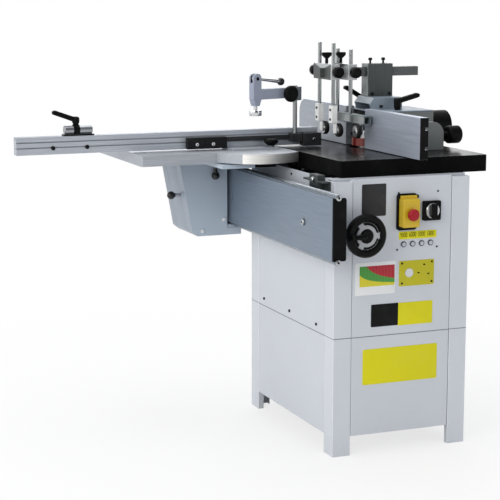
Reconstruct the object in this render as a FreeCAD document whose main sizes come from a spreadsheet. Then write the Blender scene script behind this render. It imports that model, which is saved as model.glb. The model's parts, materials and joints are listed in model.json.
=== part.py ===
import FreeCAD, Part
import Sketcher
import math
import os
from types import SimpleNamespace
from FreeCAD import Placement, Rotation, Vector

# Spindle moulder with a sliding carriage. +X runs to the right along the control panel,
# +Y runs away from it along the fence, +Z is up. The floor is Z = 0 and the origin is
# the middle of the whole machine's footprint. Every length is in millimetres.

doc = FreeCAD.newDocument("SpindleMoulder")
sheet = doc.addObject("Spreadsheet::Sheet", "Dims")

SIZES = {
    # cabinet: two sheet steel boxes, one on the other, with folded corner posts
    "cabinet_left": 120, "cabinet_mid": -69, "cabinet_width": 435, "cabinet_depth": 624,
    "post_face": 57, "post_side": 60, "post_lip": 18, "post_sheet": 2.5,
    "seam_height": 350, "shelf_sheet": 2, "panel_sheet": 2, "panel_depth": 20, "panel_gap": 1.5,
    "panel_foot": 58, "panel_round": 3,
    # cast iron table and the channels that carry it
    "table_left": 154.6, "table_front": -345, "table_width": 479.4, "table_depth": 690,
    "table_top": 860, "table_thick": 49, "table_plate": 12, "table_skirt": 14, "table_corner": 8,
    "table_rib": 14, "table_rib_at": 197, "boss_radius": 108, "boss_depth": 22,
    "opening_radius": 80, "ring_seat_radius": 90, "ring_thick": 10, "ring_step": 70,
    "ring_lip": 5, "ring_hole": 48, "ring_clear": 0.3,
    "channel_height": 40, "channel_wide": 30, "channel_sheet": 3, "channel_front": 24,
    "channel_inset": 54,
    # spindle, its lift carriage and its drive
    "gear_hub_long": 29, "motor_cap": 40, "shaft_end_gap": 2,
    "spindle_x": 400, "spindle_y": 0, "arbor_radius": 15, "arbor_end_radius": 12,
    "quill_radius": 48, "quill_bore": 30,
    "bearing_radius": 36, "bearing_wide": 18, "run_clear": 0.05, "collar_radius": 22,
    "collar_thick": 8, "cutter_radius": 40, "cutter_thick": 24,
    "top_ring_thick": 6, "nut_thick": 12, "nut_across": 42, "gullet_wide": 14, "gullet_deep": 10,
    "pulley_wide": 28, "spindle_pulley_radius": 38,
    "motor_pulley_radius": 62, "belt_thick": 5, "belt_wide": 18, "belt_clear": 0.3,
    "pulley_rim": 4, "motor_offset_x": -80, "motor_offset_y": -205, "motor_radius": 68,
    "motor_flange": 78, "motor_height": 196, "motor_flange_thick": 10, "motor_shaft": 9,
    "motor_plate_thick": 14, "motor_plate_margin": 8, "fin_count": 24, "fin_deep": 5, "fin_wide": 6,
    "column_radius": 12.5, "column_spread": 120, "column_back": 110,
    "bridge_wall": 20, "base_thick": 12,
    "nut_arm_thick": 25, "nut_arm_half": 18,
    "screw_radius": 8, "screw_journal": 6, "pedestal_half": 20,
    "bevel_radius": 28, "bevel_face": 14, "bevel_hub": 16, "bevel_clear": 0.5,
    # handwheel on the control panel
    "bush_radius": 12, "wheel_web_inner": 39, "wheel_hub": 17, "wheel_hub_front": 68,
    "wheel_hub_back": 44, "wheel_web_back": 52, "wheel_web_thick": 8, "wheel_edge": 6,
    "lug_ring_inner": 21, "lug_ring_outer": 31, "lug_thick": 6, "lug_reach": 40, "lug_wide": 16,
    "fold_at": 50, "fold_out": 9, "fold_radius": 6, "fold_half": 5, "fold_ear": 3.5, "fold_pin": 2.5,
    "crank_grip": 8.5, "crank_length": 43, "crank_neck": 5,
    "hand_x": 71, "hand_shaft": 8, "hand_radius": 62,
    "hand_rim_back": 48,
    "hand_rim_front": 70,
    "bush_flange": 24, "bush_flange_thick": 8, "bush_inside": 60,

    # sliding carriage beam
    "bolt_hole": 10, "bolt_head": 8, "bolt_head_thick": 8,
    "beam_left": 40, "beam_wide": 40, "beam_wall": 4,
    "beam_front": -546, "beam_length": 1092, "beam_web": 5, "beam_web_at": 52, "cap_thick": 7,
    "cap_round": 6,
    "rod_radius": 9, "rod_rise": 2, "rod_inset": 12, "rod_overhang": 7,
    "bracket_front": 15, "bracket_inset": 50, "bracket_wide": 36,
    "bracket_sheet": 5,
    "angle_front": 24, "angle_length": 136, "angle_leg": 26, "angle_sheet": 5,
    # saddle, sliding table and mitre disc
    "slide_gap": 5.6,
    "saddle_front": 231, "saddle_length": 182, "saddle_sheet": 4, "saddle_flange": 40,
    "saddle_top_left": -130, "saddle_low_left": -88,
    "saddle_foot_left": -69, "saddle_gap": 8, "saddle_tongue": 22, "saddle_plate": 12,
    "shoe_wide": 44, "shoe_clear": 0.3, "shoe_wall": 7,
    "slide_left": -327, "slide_front": -3, "slide_depth": 462,
    "slide_thick": 33, "slide_plate": 10, "slide_wall": 9, "slide_corner": 6,
    "disc_x": 48, "disc_y": 45, "disc_radius": 147, "disc_thick": 29,
    # mitre rail, its stop and its backing blocks
    "stop_plate": 5, "stop_length": 92, "stop_barrel": 13.5, "stop_barrel_long": 84, "stop_sink": 2,
    "stop_ring": 15.5, "stop_ring_long": 18, "stop_ring_at": 27, "stop_lever_reach": 70,
    "stop_lever_rise": 21, "stop_hub_height": 22,
    "star_radius": 22,
    "star_high": 14, "star_stem": 9, "star_stem_high": 11,
    "rail_left": -680, "rail_right": 275, "rail_offset": 34, "rail_depth": 30,
    "rail_height": 52, "rail_slot": 3.2, "rail_slot_deep": 7, "rail_slot_low": 18.5,
    "rail_slot_high": 34.5, "rail_top_slot": 9, "rail_top_deep": 10, "pivot_pin": 8,
    "pivot_pin_depth": 20, "pivot_left": -32, "pivot_right": 124, "pivot_front": 22,
    "pad_left": -161, "pad_right": -34, "pad_thick": 20, "pad_height": 34,
    "strip_thick": 8, "strip_low": 18, "strip_height": 14, "foot_left": 176, "foot_right": 212,
    "foot_thick": 27, "foot_low": 12, "foot_high": 36, "end_left": 215, "end_thick": 30,
    "end_height": 39,
    "stop_left": -537,


    # quick hold-down on the rail
    "hold_hub_height": 41, "hold_arm_half": 11, "arm_low": 8, "arm_high": 39, "nose_drop": 11,
    "hold_nose_half": 15, "nose_tip_half": 8, "nose_cheek": 9, "cam_rise": 71, "cam_cap": 15,
    "plunger_gap": 6, "hold_knob_rise": 22, "foot_gap": 18, "arm_corner": 4,
    "hold_x": 192, "hold_column": 7, "hold_turn": 17, "hold_reach": 157,
    "hold_hub": 20,
    "plunger_radius": 6,
    "foot_radius": 19, "hold_foot_thick": 11,
    "cam_radius": 12, "cam_half": 4.5, "cam_pin": 3, "cam_gap": 0.4,
    "hold_lever_length": 112, "hold_lever_drop": 14, "hold_lever_rod": 4, "hold_ball": 12,
    "hold_knob_at": 40, "hold_knob_radius": 25, "hold_knob_long": 28,
    # fence, hood and extraction port
    "port_flange": 54, "hood_box_left": 12, "hood_box_right": 118, "hood_box_near": -20,
    "hood_box_high": 37, "hood_box_wall": 5, "mouth_high": 18, "mouth_margin": 7, "visor_lean": 6,
    "visor_back": 14, "lug_left": 24, "lug_right": 74, "lug_far": 140, "lug_deep": 12,
    "clamp_far_y": 118,
    "clamp_hub_height": 37, "clamp_reach": 74, "clamp_rise": 15, "clamp_far_reach": 64,
    "clamp_far_rise": 32,
    "plate_thick": 27, "plate_height": 120,
    "infeed_length": 355, "outfeed_length": 363, "fence_gap_half": 66, "plate_slot": 8,
    "plate_slot_deep": 10, "plate_slot_low": 32, "plate_slot_high": 88, "outfeed_round": 45,
    "wing_wall": 14, "wing_end": 321, "hood_half": 91, "hood_wall": 10,
    "web_at": 166, "web_thick": 15,
    "web_round": 38, "shoe_thick": 12, "shoe_slot": 11, "shoe_slot_long": 60,
    "cover_sheet": 4, "port_radius": 50, "port_wall": 3,
    "port_long": 90, "port_flange_thick": 6,
    "adjust_radius": 27, "adjust_long": 44, "adjust_stem": 9, "adjust_gap": 13,
    "clamp_near_y": -51,
    "clamp_hub": 11, "clamp_arm": 7,
    # roller presser on the hood
    "column_rise": 101, "holder_high": 27, "holder_wall": 4,
    "column_wide": 87, "column_front": 42, "column_deep": 47,
    "bar_deep": 25, "bar_high": 28, "bar_clear": 0.1, "bar_at": 65,
    "clamp_half": 15, "clamp_high": 48,
    "rod_thick": 6, "outer_near": 15, "outer_far": 116, "inner_near": -7, "inner_far": 86,
    "clamp_margin": 15.5,
    "fork_half": 9, "fork_side": 12, "cheek_thick": 4, "cheek_half": 9,
    "roller_radius": 21, "roller_wide": 18, "roller_hub": 11, "roller_gap": 2, "axle_radius": 4,
    "holder_half": 12,
    "holder_front": -126, "holder_back": 99, "inner_roller_at": -105,
    "grip_radius": 17, "grip_long": 26, "grip_stem": 6, "grip_gap": 8,
    "wing_half": 15, "wing_high": 18, "wing_thick": 9, "wing_stem": 5, "wing_stem_high": 16,
    # switch, selector and lamps on the control panel
    "switch_off_mid": 10.5, "switch_wide": 64, "switch_high": 106, "switch_thick": 7,
    "switch_round": 9, "switch_box_deep": 45, "switch_box_margin": 9,
    "flap_wide": 54, "flap_high": 82, "flap_deep": 30, "flap_wall": 2.5,
    "flap_gap": 1.5, "hinge_radius": 3.5, "mushroom_radius": 17.5, "mushroom_thick": 14,
    "mushroom_stem": 9, "mushroom_gap": 6, "mushroom_up": 38, "start_radius": 9, "start_high": 12,
    "dial_off_mid": 91, "dial_wide": 57, "dial_thick": 9, "dial_round": 4,
    "dial_stem": 7, "dial_stem_deep": 30, "dial_bar_half": 7, "dial_bar_long": 21, "dial_bar_high": 20,
    "dial_disc": 22,
    "lamps_off_mid": 47.3, "lamp_step": 29.2, "lamp_radius": 8.5, "lamp_thick": 4,
    "lamp_body": 6, "lamp_deep": 22,
    # levers with ball knobs on the saddle
    "ball_radius": 13, "ball_stem": 5, "ball_stem_long": 18, "lock_boss": 9,
    "lock_boss_out": 9, "swing_x": -14, "swing_drop": 34, "swing_hub": 9, "swing_out": 17,
    "star_x": 104,
}
# Heights above the table top; a minus sign is below it.
HEIGHTS = {
    "post_top": -55, "hand_height": -203, "quill_top": -68, "quill_bottom": -308, "arbor_top": 50,
    "cutter_bottom": 4, "pulley_bottom": -348, "bridge_bottom": -260, "bridge_top": -100,
    "nut_arm_bottom": -95, "screw_top": -32, "column_top": -54, "beam_bottom": -250, "beam_top": -76,
    "bracket_bottom": -227, "bracket_top": -107, "angle_top": -56, "saddle_knee": -275,
    "saddle_bottom": -290, "lock_height": -157, "swing_height": -63, "rail_bottom": 6, "end_low": 4,
    "hold_column_top": 190, "hold_hub_bottom": 145, "plate_bottom": 2, "casting_top": 110,
    "web_top": 86,
    "port_height": 55, "adjust_height": 45, "bar_bottom": 213, "clamp_bottom": 207,
    "outer_rod_top": 319,
    "inner_rod_top": 300, "fork_top": 128, "fork_bottom": 75, "outer_roller_height": 52,
    "holder_bottom": 78, "inner_roller_height": 58, "grip_height": 231, "switch_bottom": -203,
    "flap_bottom": -192, "dial_bottom": -179, "lamp_height": -245,
}
# Distances along X from the spindle's axis.
ACROSS = {
    "fence_face": -33, "hood_back": 190, "web_back": 178, "shoe_back": 140, "clamp_near_x": 85,
    "clamp_far_x": 48, "column_left": 29, "bar_left": -130, "bar_right": 210, "outer_x": -102,
    "inner_x": -54,
}
for row, (name, value) in enumerate({**SIZES, **HEIGHTS, **ACROSS}.items(), start=1):
    sheet.set("A%d" % row, name)
    sheet.set("B%d" % row, str(value))
    sheet.setAlias("B%d" % row, name)
doc.recompute()


class Size:
    """A number that keeps the sheet expression it comes from."""

    def __init__(self, value, text):
        self.value = value
        self.text = text

    def __add__(self, other):
        other = size_of(other)
        return Size(self.value + other.value, "(%s + %s)" % (self.text, other.text))

    def __sub__(self, other):
        other = size_of(other)
        return Size(self.value - other.value, "(%s - %s)" % (self.text, other.text))

    def __mul__(self, other):
        other = size_of(other)
        return Size(self.value * other.value, "(%s * %s)" % (self.text, other.text))

    def __truediv__(self, other):
        other = size_of(other)
        return Size(self.value / other.value, "(%s / %s)" % (self.text, other.text))

    def __neg__(self):
        return Size(-self.value, "(0 - %s)" % self.text)

    def __radd__(self, other):
        return size_of(other) + self

    def __rsub__(self, other):
        return size_of(other) - self

    def __rmul__(self, other):
        return size_of(other) * self


def size_of(number):
    if isinstance(number, Size):
        return number
    return Size(float(number), "(%r)" % float(number))


d = SimpleNamespace(**{name: Size(float(value), "Dims." + name)
                       for name, value in {**SIZES, **HEIGHTS, **ACROSS}.items()})
for name in HEIGHTS:
    setattr(d, name, d.table_top + getattr(d, name))
for name in ACROSS:
    setattr(d, name, d.spindle_x + getattr(d, name))

FACING = {
    "Z": Rotation(),
    "-Z": Rotation(Vector(1, 0, 0), 180),
    "X": Rotation(Vector(0, 1, 0), 90),
    "-X": Rotation(Vector(0, 1, 0), -90),
    "Y": Rotation(Vector(1, 0, 0), -90),
    "-Y": Rotation(Vector(1, 0, 0), 90),
}
NODES = {}


def node(label, thing):
    """Names a finished sub-part; the name is also its file's name."""
    thing.Label = label
    NODES[label] = thing
    return thing


def place(thing, at, facing="Z"):
    thing.Placement = Placement(Vector(), FACING[facing])
    for axis, size in zip("xyz", at):
        thing.setExpression("Placement.Base." + axis, size_of(size).text)


def sketch(body, role, lift=0):
    plane = next(f for f in body.Origin.OriginFeatures if f.Role == role)
    drawing = body.newObject("Sketcher::SketchObject", body.Name + "_sketch")
    drawing.AttachmentSupport = [(plane, "")]
    drawing.MapMode = "FlatFace"
    drawing.setExpression("AttachmentOffset.Base.z", size_of(lift).text)
    return drawing


def polygon(drawing, points):
    """A closed chain of straight edges, each corner held at its two distances."""
    corners = [(size_of(u), size_of(v)) for u, v in points]
    first = drawing.GeometryCount
    count = len(corners)
    for i, (u, v) in enumerate(corners):
        nu, nv = corners[(i + 1) % count]
        edge = Part.LineSegment(Vector(u.value, v.value, 0), Vector(nu.value, nv.value, 0))
        drawing.addGeometry(edge, False)
    rules = []
    for i in range(count):
        rules.append(Sketcher.Constraint("Coincident", first + i, 2, first + (i + 1) % count, 1))
    for i, (u, v) in enumerate(corners):
        rules.append(Sketcher.Constraint("DistanceX", -1, 1, first + i, 1, u.value))
        rules.append(Sketcher.Constraint("DistanceY", -1, 1, first + i, 1, v.value))
    start = drawing.ConstraintCount
    drawing.addConstraint(rules)
    for i, (u, v) in enumerate(corners):
        drawing.setExpression("Constraints[%d]" % (start + count + 2 * i), u.text)
        drawing.setExpression("Constraints[%d]" % (start + count + 2 * i + 1), v.text)


def circle(drawing, u, v, radius):
    u, v, radius = size_of(u), size_of(v), size_of(radius)
    index = drawing.addGeometry(Part.Circle(Vector(u.value, v.value, 0), Vector(0, 0, 1), radius.value),
                                False)
    start = drawing.ConstraintCount
    drawing.addConstraint([
        Sketcher.Constraint("DistanceX", -1, 1, index, 3, u.value),
        Sketcher.Constraint("DistanceY", -1, 1, index, 3, v.value),
        Sketcher.Constraint("Radius", index, radius.value),
    ])
    for i, size in enumerate((u, v, radius)):
        drawing.setExpression("Constraints[%d]" % (start + i), size.text)


def rectangle(u0, v0, u1, v1):
    return [(u0, v0), (u1, v0), (u1, v1), (u0, v1)]


PLANES = {"Z": ("XY_Plane", 1), "X": ("YZ_Plane", 1), "Y": ("XZ_Plane", -1)}


def slab(name, axis, start, end, outline, holes=(), bores=(), at=None, facing="Z"):
    """A profile padded along one axis between two planes, with any holes in its section."""
    body = doc.addObject("PartDesign::Body", name)
    if at:
        place(body, at, facing)
    role, sign = PLANES[axis]
    start, end = size_of(start), size_of(end)
    drawing = sketch(body, role, start if sign > 0 else -end)
    if outline:
        polygon(drawing, outline)
    for hole in holes:
        polygon(drawing, hole)
    for bore in bores:
        circle(drawing, *bore)
    pad = body.newObject("PartDesign::Pad", name + "_pad")
    pad.Profile = drawing
    pad.setExpression("Length", (end - start).text)
    return body


def pocket(body, axis, level, outline=None, bores=(), depth=None, upward=False):
    """Cuts a profile into a body, right through it unless a depth is given."""
    role, sign = PLANES[axis]
    drawing = sketch(body, role, level if sign > 0 else -size_of(level))
    if outline:
        polygon(drawing, outline)
    for bore in bores:
        circle(drawing, *bore)
    feature = body.newObject("PartDesign::Pocket", body.Name + "_pocket")
    feature.Profile = drawing
    if depth is None:
        feature.Type = "ThroughAll"
        feature.Midplane = True
    else:
        feature.setExpression("Length", size_of(depth).text)
        feature.Reversed = upward
    return feature


def turned(name, profile, at, facing="Z"):
    """A profile of radius and height, turned about its own vertical axis."""
    body = doc.addObject("PartDesign::Body", name)
    place(body, at, facing)
    drawing = sketch(body, "XZ_Plane")
    polygon(drawing, profile)
    turn = body.newObject("PartDesign::Revolution", name + "_turn")
    turn.Profile = drawing
    turn.ReferenceAxis = (drawing, ["V_Axis"])
    turn.Angle = 360
    return body


def ball_profile(radius, top, stem, foot, steps=8):
    """Half outline of a ball on a stem: the ball's far end is at top, the stem starts at foot."""
    centre = top - radius
    points = [(0, foot), (stem, foot)]
    for i in range(steps):
        angle = math.radians(-58 + 148 * i / steps)
        points.append((radius * math.cos(angle), centre + radius * math.sin(angle)))
    points.append((0, top))
    return points


def soften(body, radius, wanted):
    """Rounds the edges that wanted picks."""
    doc.recompute()
    tip = body.Tip
    names = ["Edge%d" % (i + 1) for i, edge in enumerate(tip.Shape.Edges) if wanted(edge)]
    feature = body.newObject("PartDesign::Fillet", body.Name + "_round")
    feature.Base = (tip, names)
    feature.setExpression("Radius", size_of(radius).text)
    return feature


def runs_along(edge, axis):
    if edge.Curve.TypeId != "Part::GeomLine":
        return False
    step = edge.Vertexes[-1].Point - edge.Vertexes[0].Point
    step.normalize()
    return abs(abs(step["XYZ".index(axis)]) - 1) < 1e-6


def middle(edge):
    return (edge.Vertexes[0].Point + edge.Vertexes[-1].Point) * 0.5


def near(a, b):
    return abs(a - size_of(b).value) < 0.01


def box(name, x0, y0, z0, x1, y1, z1):
    return slab(name, "Z", z0, z1, rectangle(x0, y0, x1, y1))


def cylinder(name, radius, length, at, facing="Z"):
    thing = doc.addObject("Part::Cylinder", name)
    thing.setExpression("Radius", size_of(radius).text)
    thing.setExpression("Height", size_of(length).text)
    place(thing, at, facing)
    return thing


def fuse(name, *pieces):
    thing = doc.addObject("Part::MultiFuse", name)
    thing.Shapes = list(pieces)
    return thing


def cut(name, base, *tools):
    thing = doc.addObject("Part::Cut", name)
    thing.Base = base
    thing.Tool = tools[0] if len(tools) == 1 else fuse(name + "_tools", *tools)
    return thing


def group(name, *pieces):
    thing = doc.addObject("Part::Compound", name)
    thing.Links = list(pieces)
    return thing


# Cabinet. Each corner is a folded post, an angle with a lip along both free edges, and
# the panels between the posts are trays with rounded folds. A shelf sheet parts the
# lower stand from the upper box and shows as the seam all round.
left, front = d.cabinet_left, d.cabinet_mid - d.cabinet_depth / 2
right, back = left + d.cabinet_width, front + d.cabinet_depth
panel_mid = left + d.cabinet_width / 2
stand_top = d.seam_height
box_bottom = d.seam_height + d.shelf_sheet
table_bottom = d.table_top - d.table_thick


def post(name, corner_x, corner_y, toward_x, toward_y, bottom, top):
    face, side, lip, sheet_steel = d.post_face, d.post_side, d.post_lip, d.post_sheet
    outline = [(0, 0), (face, 0), (face, lip), (face - sheet_steel, lip),
               (face - sheet_steel, sheet_steel),
               (sheet_steel, sheet_steel), (sheet_steel, side - sheet_steel), (lip, side - sheet_steel),
               (lip, side), (0, side)]
    points = [(corner_x + toward_x * u, corner_y + toward_y * v) for u, v in outline]
    return slab(name, "Z", bottom, top, points)


corners = [("front_left", left, front, 1, 1), ("front_right", right, front, -1, 1),
           ("back_left", left, back, 1, -1), ("back_right", right, back, -1, -1)]
node("corner_posts", group("corner_posts", *[
    post("leg_" + name, x, y, tx, ty, 0, stand_top) for name, x, y, tx, ty in corners], *[
    post("post_" + name, x, y, tx, ty, box_bottom, d.post_top) for name, x, y, tx, ty in corners]))


def tray(name, side, bottom, top):
    """A panel with its two upright edges folded back and rounded."""
    reach = d.post_side if side in ("left", "right") else d.post_face
    length = d.cabinet_depth if side in ("left", "right") else d.cabinet_width
    a, b = reach + d.panel_gap, length - reach - d.panel_gap
    deep, sheet_steel = d.panel_depth, d.panel_sheet
    outline = [(a, 0), (b, 0), (b, deep), (b - sheet_steel, deep), (b - sheet_steel, sheet_steel),
               (a + sheet_steel, sheet_steel), (a + sheet_steel, deep), (a, deep)]
    to_plan = {"front": lambda u, v: (left + u, front + v), "back": lambda u, v: (left + u, back - v),
               "left": lambda u, v: (left + v, front + u), "right": lambda u,
               v: (right - v, front + u)}[side]
    body = slab(name, "Z", bottom, top, [to_plan(u, v) for u, v in outline])
    folds = [to_plan(a, 0), to_plan(b, 0)]
    soften(body, d.panel_round, lambda edge: runs_along(edge, "Z") and any(
        near(middle(edge).x, x) and near(middle(edge).y, y) for x, y in folds))
    return body


shelf = box("shelf", left, front, stand_top, right, back, box_bottom)
node("stand_panels", group("stand_panels", shelf, *[
    tray("stand_" + side, side, d.panel_foot, stand_top) for side in ("front", "left", "right",
        "back")]))

channels = []
for name, y0 in (("channel_front_bar", front + d.channel_front),
                 ("channel_back_bar", back - d.channel_inset)):
    y1 = y0 + d.channel_wide
    wall, low = d.channel_sheet, table_bottom - d.channel_height
    section = [(y0, low), (y0 + wall, low), (y0 + wall, table_bottom - wall),
               (y1 - wall, table_bottom - wall),
               (y1 - wall, low), (y1, low), (y1, table_bottom), (y0, table_bottom)]
    channels.append(slab(name, "X", left + d.post_sheet, right - d.post_sheet, section))
node("cabinet_panels", group("cabinet_panels", *channels, *[
    tray("box_" + side, side, box_bottom, table_bottom) for side in ("left", "right", "back")]))

# Control panel: the front tray of the upper box with the handwheel's bush welded in, and
# holes for the switch box, the selector stem and the four lamps.
hand_x = left + d.hand_x
dial_x = panel_mid + d.dial_off_mid
dial_z = d.dial_bottom + d.dial_wide / 2
lamps = [panel_mid + d.lamps_off_mid + d.lamp_step * (i - 1.5) for i in range(4)]
switch_x = panel_mid + d.switch_off_mid
plate_x0, plate_x1 = switch_x - d.switch_wide / 2, switch_x + d.switch_wide / 2
panel = tray("control_panel_tray", "front", box_bottom, table_bottom)
pocket(panel, "Y", front, rectangle(
    plate_x0 + d.switch_box_margin, d.switch_bottom + d.switch_box_margin,
    plate_x1 - d.switch_box_margin, d.switch_bottom + d.switch_high - d.switch_box_margin),
    bores=[(hand_x, d.hand_height, d.bush_radius),
           (dial_x, dial_z, d.dial_stem + d.ring_clear)]
    + [(x, d.lamp_height, d.lamp_body + d.ring_clear) for x in lamps])
bush_front = front - d.bush_flange_thick
bush_bore = d.hand_shaft + d.run_clear
bush = turned("shaft_bush", [
    (bush_bore, bush_front), (d.bush_flange, bush_front), (d.bush_flange, front),
    (d.bush_radius, front),
    (d.bush_radius, front + d.bush_inside), (bush_bore, front + d.bush_inside)],
    (hand_x, 0, d.hand_height), "Y")
node("control_panel", fuse("control_panel", panel, bush))

# Cast iron table: a ribbed plate with a skirt, a ring boss under the spindle opening and
# a ledge in which the insert rings lie flush.
table_right, table_back = d.table_left + d.table_width, d.table_front + d.table_depth
table = slab("main_table", "Z", table_bottom, d.table_top,
             rectangle(d.table_left, d.table_front, table_right, table_back))
soften(table, d.table_corner, lambda edge: runs_along(edge, "Z"))
cell_left, cell_right = d.table_left + d.table_skirt, table_right - d.table_skirt
rib_front = d.table_rib_at
cell_depth = d.table_thick - d.table_plate
pocket(table, "Z", table_bottom, rectangle(cell_left, d.table_front + d.table_skirt, cell_right,
                                           rib_front),
       depth=cell_depth, upward=True)
pocket(table, "Z", table_bottom,
       rectangle(cell_left, rib_front + d.table_rib, cell_right, table_back - d.table_skirt),
       depth=cell_depth, upward=True)
boss = sketch(table, "XY_Plane", d.table_top - d.table_plate - d.boss_depth)
circle(boss, d.spindle_x, d.spindle_y, d.boss_radius)
boss_pad = table.newObject("PartDesign::Pad", "table_boss")
boss_pad.Profile = boss
boss_pad.setExpression("Length", d.boss_depth.text)
pocket(table, "Z", d.table_top, bores=[(d.spindle_x, d.spindle_y, d.opening_radius)])
pocket(table, "Z", d.table_top, bores=[(d.spindle_x, d.spindle_y, d.ring_seat_radius)],
       depth=d.ring_thick)
node("main_table", table)

spindle_foot = (d.spindle_x, d.spindle_y, 0)
ring_floor = d.table_top - d.ring_thick
ring_ledge = d.table_top - d.ring_lip
outer_ring = turned("outer_ring", [
    (d.ring_hole + d.ring_lip, ring_floor), (d.ring_seat_radius - d.ring_clear, ring_floor),
    (d.ring_seat_radius - d.ring_clear, d.table_top), (d.ring_step, d.table_top),
    (d.ring_step, ring_ledge), (d.ring_hole + d.ring_lip, ring_ledge)], spindle_foot)
inner_ring = turned("inner_ring", rectangle(
    d.ring_hole, ring_ledge, d.ring_step - d.ring_clear, d.table_top), spindle_foot)
node("insert_rings", group("insert_rings", outer_ring, inner_ring))

# Lift frame: two guide columns and a pedestal for the lift screw on one base plate.
screw_at = (hand_x, d.spindle_y, 0)
column_y = d.spindle_y + d.column_back
columns_x = [d.spindle_x - d.column_spread / 2, d.spindle_x + d.column_spread / 2]
base_top = box_bottom + d.base_thick
gear_back = d.hand_height - d.bevel_radius
pedestal_top = gear_back - d.gear_hub_long
base = box("lift_base", hand_x - d.pedestal_half, d.spindle_y - d.pedestal_half, box_bottom,
           columns_x[1] + d.bridge_wall + d.column_radius, column_y + d.bridge_wall + d.column_radius,
           base_top)
pedestal = box("lift_pedestal", hand_x - d.pedestal_half, d.spindle_y - d.pedestal_half, base_top,
               hand_x + d.pedestal_half, d.spindle_y + d.pedestal_half, pedestal_top)
pedestal_bore = cylinder("pedestal_bore", d.screw_journal + d.run_clear,
                         d.pedestal_half * 2 + d.run_clear * 10,
                         (hand_x, d.spindle_y, pedestal_top - d.pedestal_half * 2))
guides = [cylinder("guide_column_%d" % i, d.column_radius, d.column_top - base_top,
                   (x, column_y, base_top))
          for i, x in enumerate(columns_x, 1)]
node("lift_columns", cut("lift_columns", fuse("lift_frame", base, pedestal, *guides), pedestal_bore))

# Lift carriage: the quill tube, a bridge on the two columns, an arm with the screw nut
# and the plate under the motor, in one casting.
motor_x, motor_y = d.spindle_x + d.motor_offset_x, d.spindle_y + d.motor_offset_y
plate_top = d.quill_bottom + d.motor_plate_thick
reach = d.motor_flange + d.motor_plate_margin
quill = cylinder("quill_tube", d.quill_radius, d.quill_top - d.quill_bottom,
                 (d.spindle_x, d.spindle_y, d.quill_bottom))
bridge_half = d.column_radius + d.bridge_wall
bridge = slab("column_bridge", "Z", d.bridge_bottom, d.bridge_top, [
    (d.spindle_x - d.quill_bore, d.spindle_y), (d.spindle_x + d.quill_bore, d.spindle_y),
    (columns_x[1] + bridge_half, column_y - d.column_radius),
    (columns_x[1] + bridge_half, column_y + bridge_half),
    (columns_x[0] - bridge_half, column_y + bridge_half),
    (columns_x[0] - bridge_half, column_y - d.column_radius)])
nut_arm = box("nut_arm", hand_x - d.nut_arm_half, d.spindle_y - d.nut_arm_half, d.nut_arm_bottom,
              d.spindle_x, d.spindle_y + d.nut_arm_half, d.nut_arm_bottom + d.nut_arm_thick)
motor_plate = slab("motor_plate", "Z", d.quill_bottom, plate_top, [
    (motor_x - reach, motor_y - reach), (motor_x + reach, motor_y - reach),
    (motor_x + reach, motor_y + reach),
    (d.spindle_x + d.quill_bore, d.spindle_y), (d.spindle_x - d.quill_bore, d.spindle_y),
    (motor_x - reach, motor_y + reach)])
quill_tall = d.quill_top - d.quill_bottom
carriage_cuts = [
    cylinder("quill_bore", d.quill_bore, quill_tall, (d.spindle_x, d.spindle_y, d.quill_bottom)),
    cylinder("low_seat", d.bearing_radius, d.bearing_wide, (d.spindle_x, d.spindle_y, d.quill_bottom)),
    cylinder("high_seat", d.bearing_radius, d.bearing_wide,
             (d.spindle_x, d.spindle_y, d.quill_top - d.bearing_wide)),
    cylinder("nut_bore", d.screw_radius + d.run_clear, d.nut_arm_thick,
             (hand_x, d.spindle_y, d.nut_arm_bottom)),
    cylinder("shaft_bore", d.motor_shaft + d.belt_thick, d.motor_plate_thick,
             (motor_x, motor_y, d.quill_bottom)),
] + [cylinder("column_bore_%d" % i, d.column_radius + d.run_clear, d.bridge_top - d.bridge_bottom,
              (x, column_y, d.bridge_bottom)) for i, x in enumerate(columns_x, 1)]
node("lift_carriage", cut("lift_carriage", fuse("lift_casting", quill, bridge, nut_arm, motor_plate),
                          *carriage_cuts))

bearing = rectangle(d.arbor_radius + d.run_clear, 0, d.bearing_radius, d.bearing_wide)
node("spindle_bearings", group("spindle_bearings",
                               turned("low_bearing", bearing,
                                      (d.spindle_x, d.spindle_y, d.quill_bottom)),
                               turned("high_bearing", bearing,
                                      (d.spindle_x, d.spindle_y, d.quill_top - d.bearing_wide))))

# Motor: a finned frame over its flange, with the rotor shaft and pulley below the plate.
motor = turned("motor_frame", [
    (d.motor_shaft + d.run_clear, 0), (d.motor_flange, 0), (d.motor_flange, d.motor_flange_thick),
    (d.motor_radius, d.motor_flange_thick), (d.motor_radius, d.motor_height - 18),
    (d.motor_radius - 14, d.motor_height), (0, d.motor_height), (0, d.motor_height - d.motor_cap),
    (d.motor_shaft + d.run_clear, d.motor_height - d.motor_cap)], (motor_x, motor_y, plate_top))
fin_gap = sketch(motor, "XY_Plane", d.motor_flange_thick * 2)
polygon(fin_gap, rectangle(d.motor_radius - d.fin_deep, -d.fin_wide / 2, d.motor_radius + d.fin_deep,
                           d.fin_wide / 2))
fin_cut = motor.newObject("PartDesign::Pocket", "fin_cut")
fin_cut.Profile = fin_gap
fin_cut.setExpression("Length", (d.motor_height - d.motor_flange_thick * 5).text)
fin_cut.Reversed = True
fins = motor.newObject("PartDesign::PolarPattern", "fins")
fins.Originals = [fin_cut]
fins.Axis = (fin_gap, ["N_Axis"])
fins.Angle = 360
fins.setExpression("Occurrences", d.fin_count.text)
motor.Tip = fins
node("motor_body", motor)

pulley_top = d.pulley_bottom + d.pulley_wide


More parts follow.
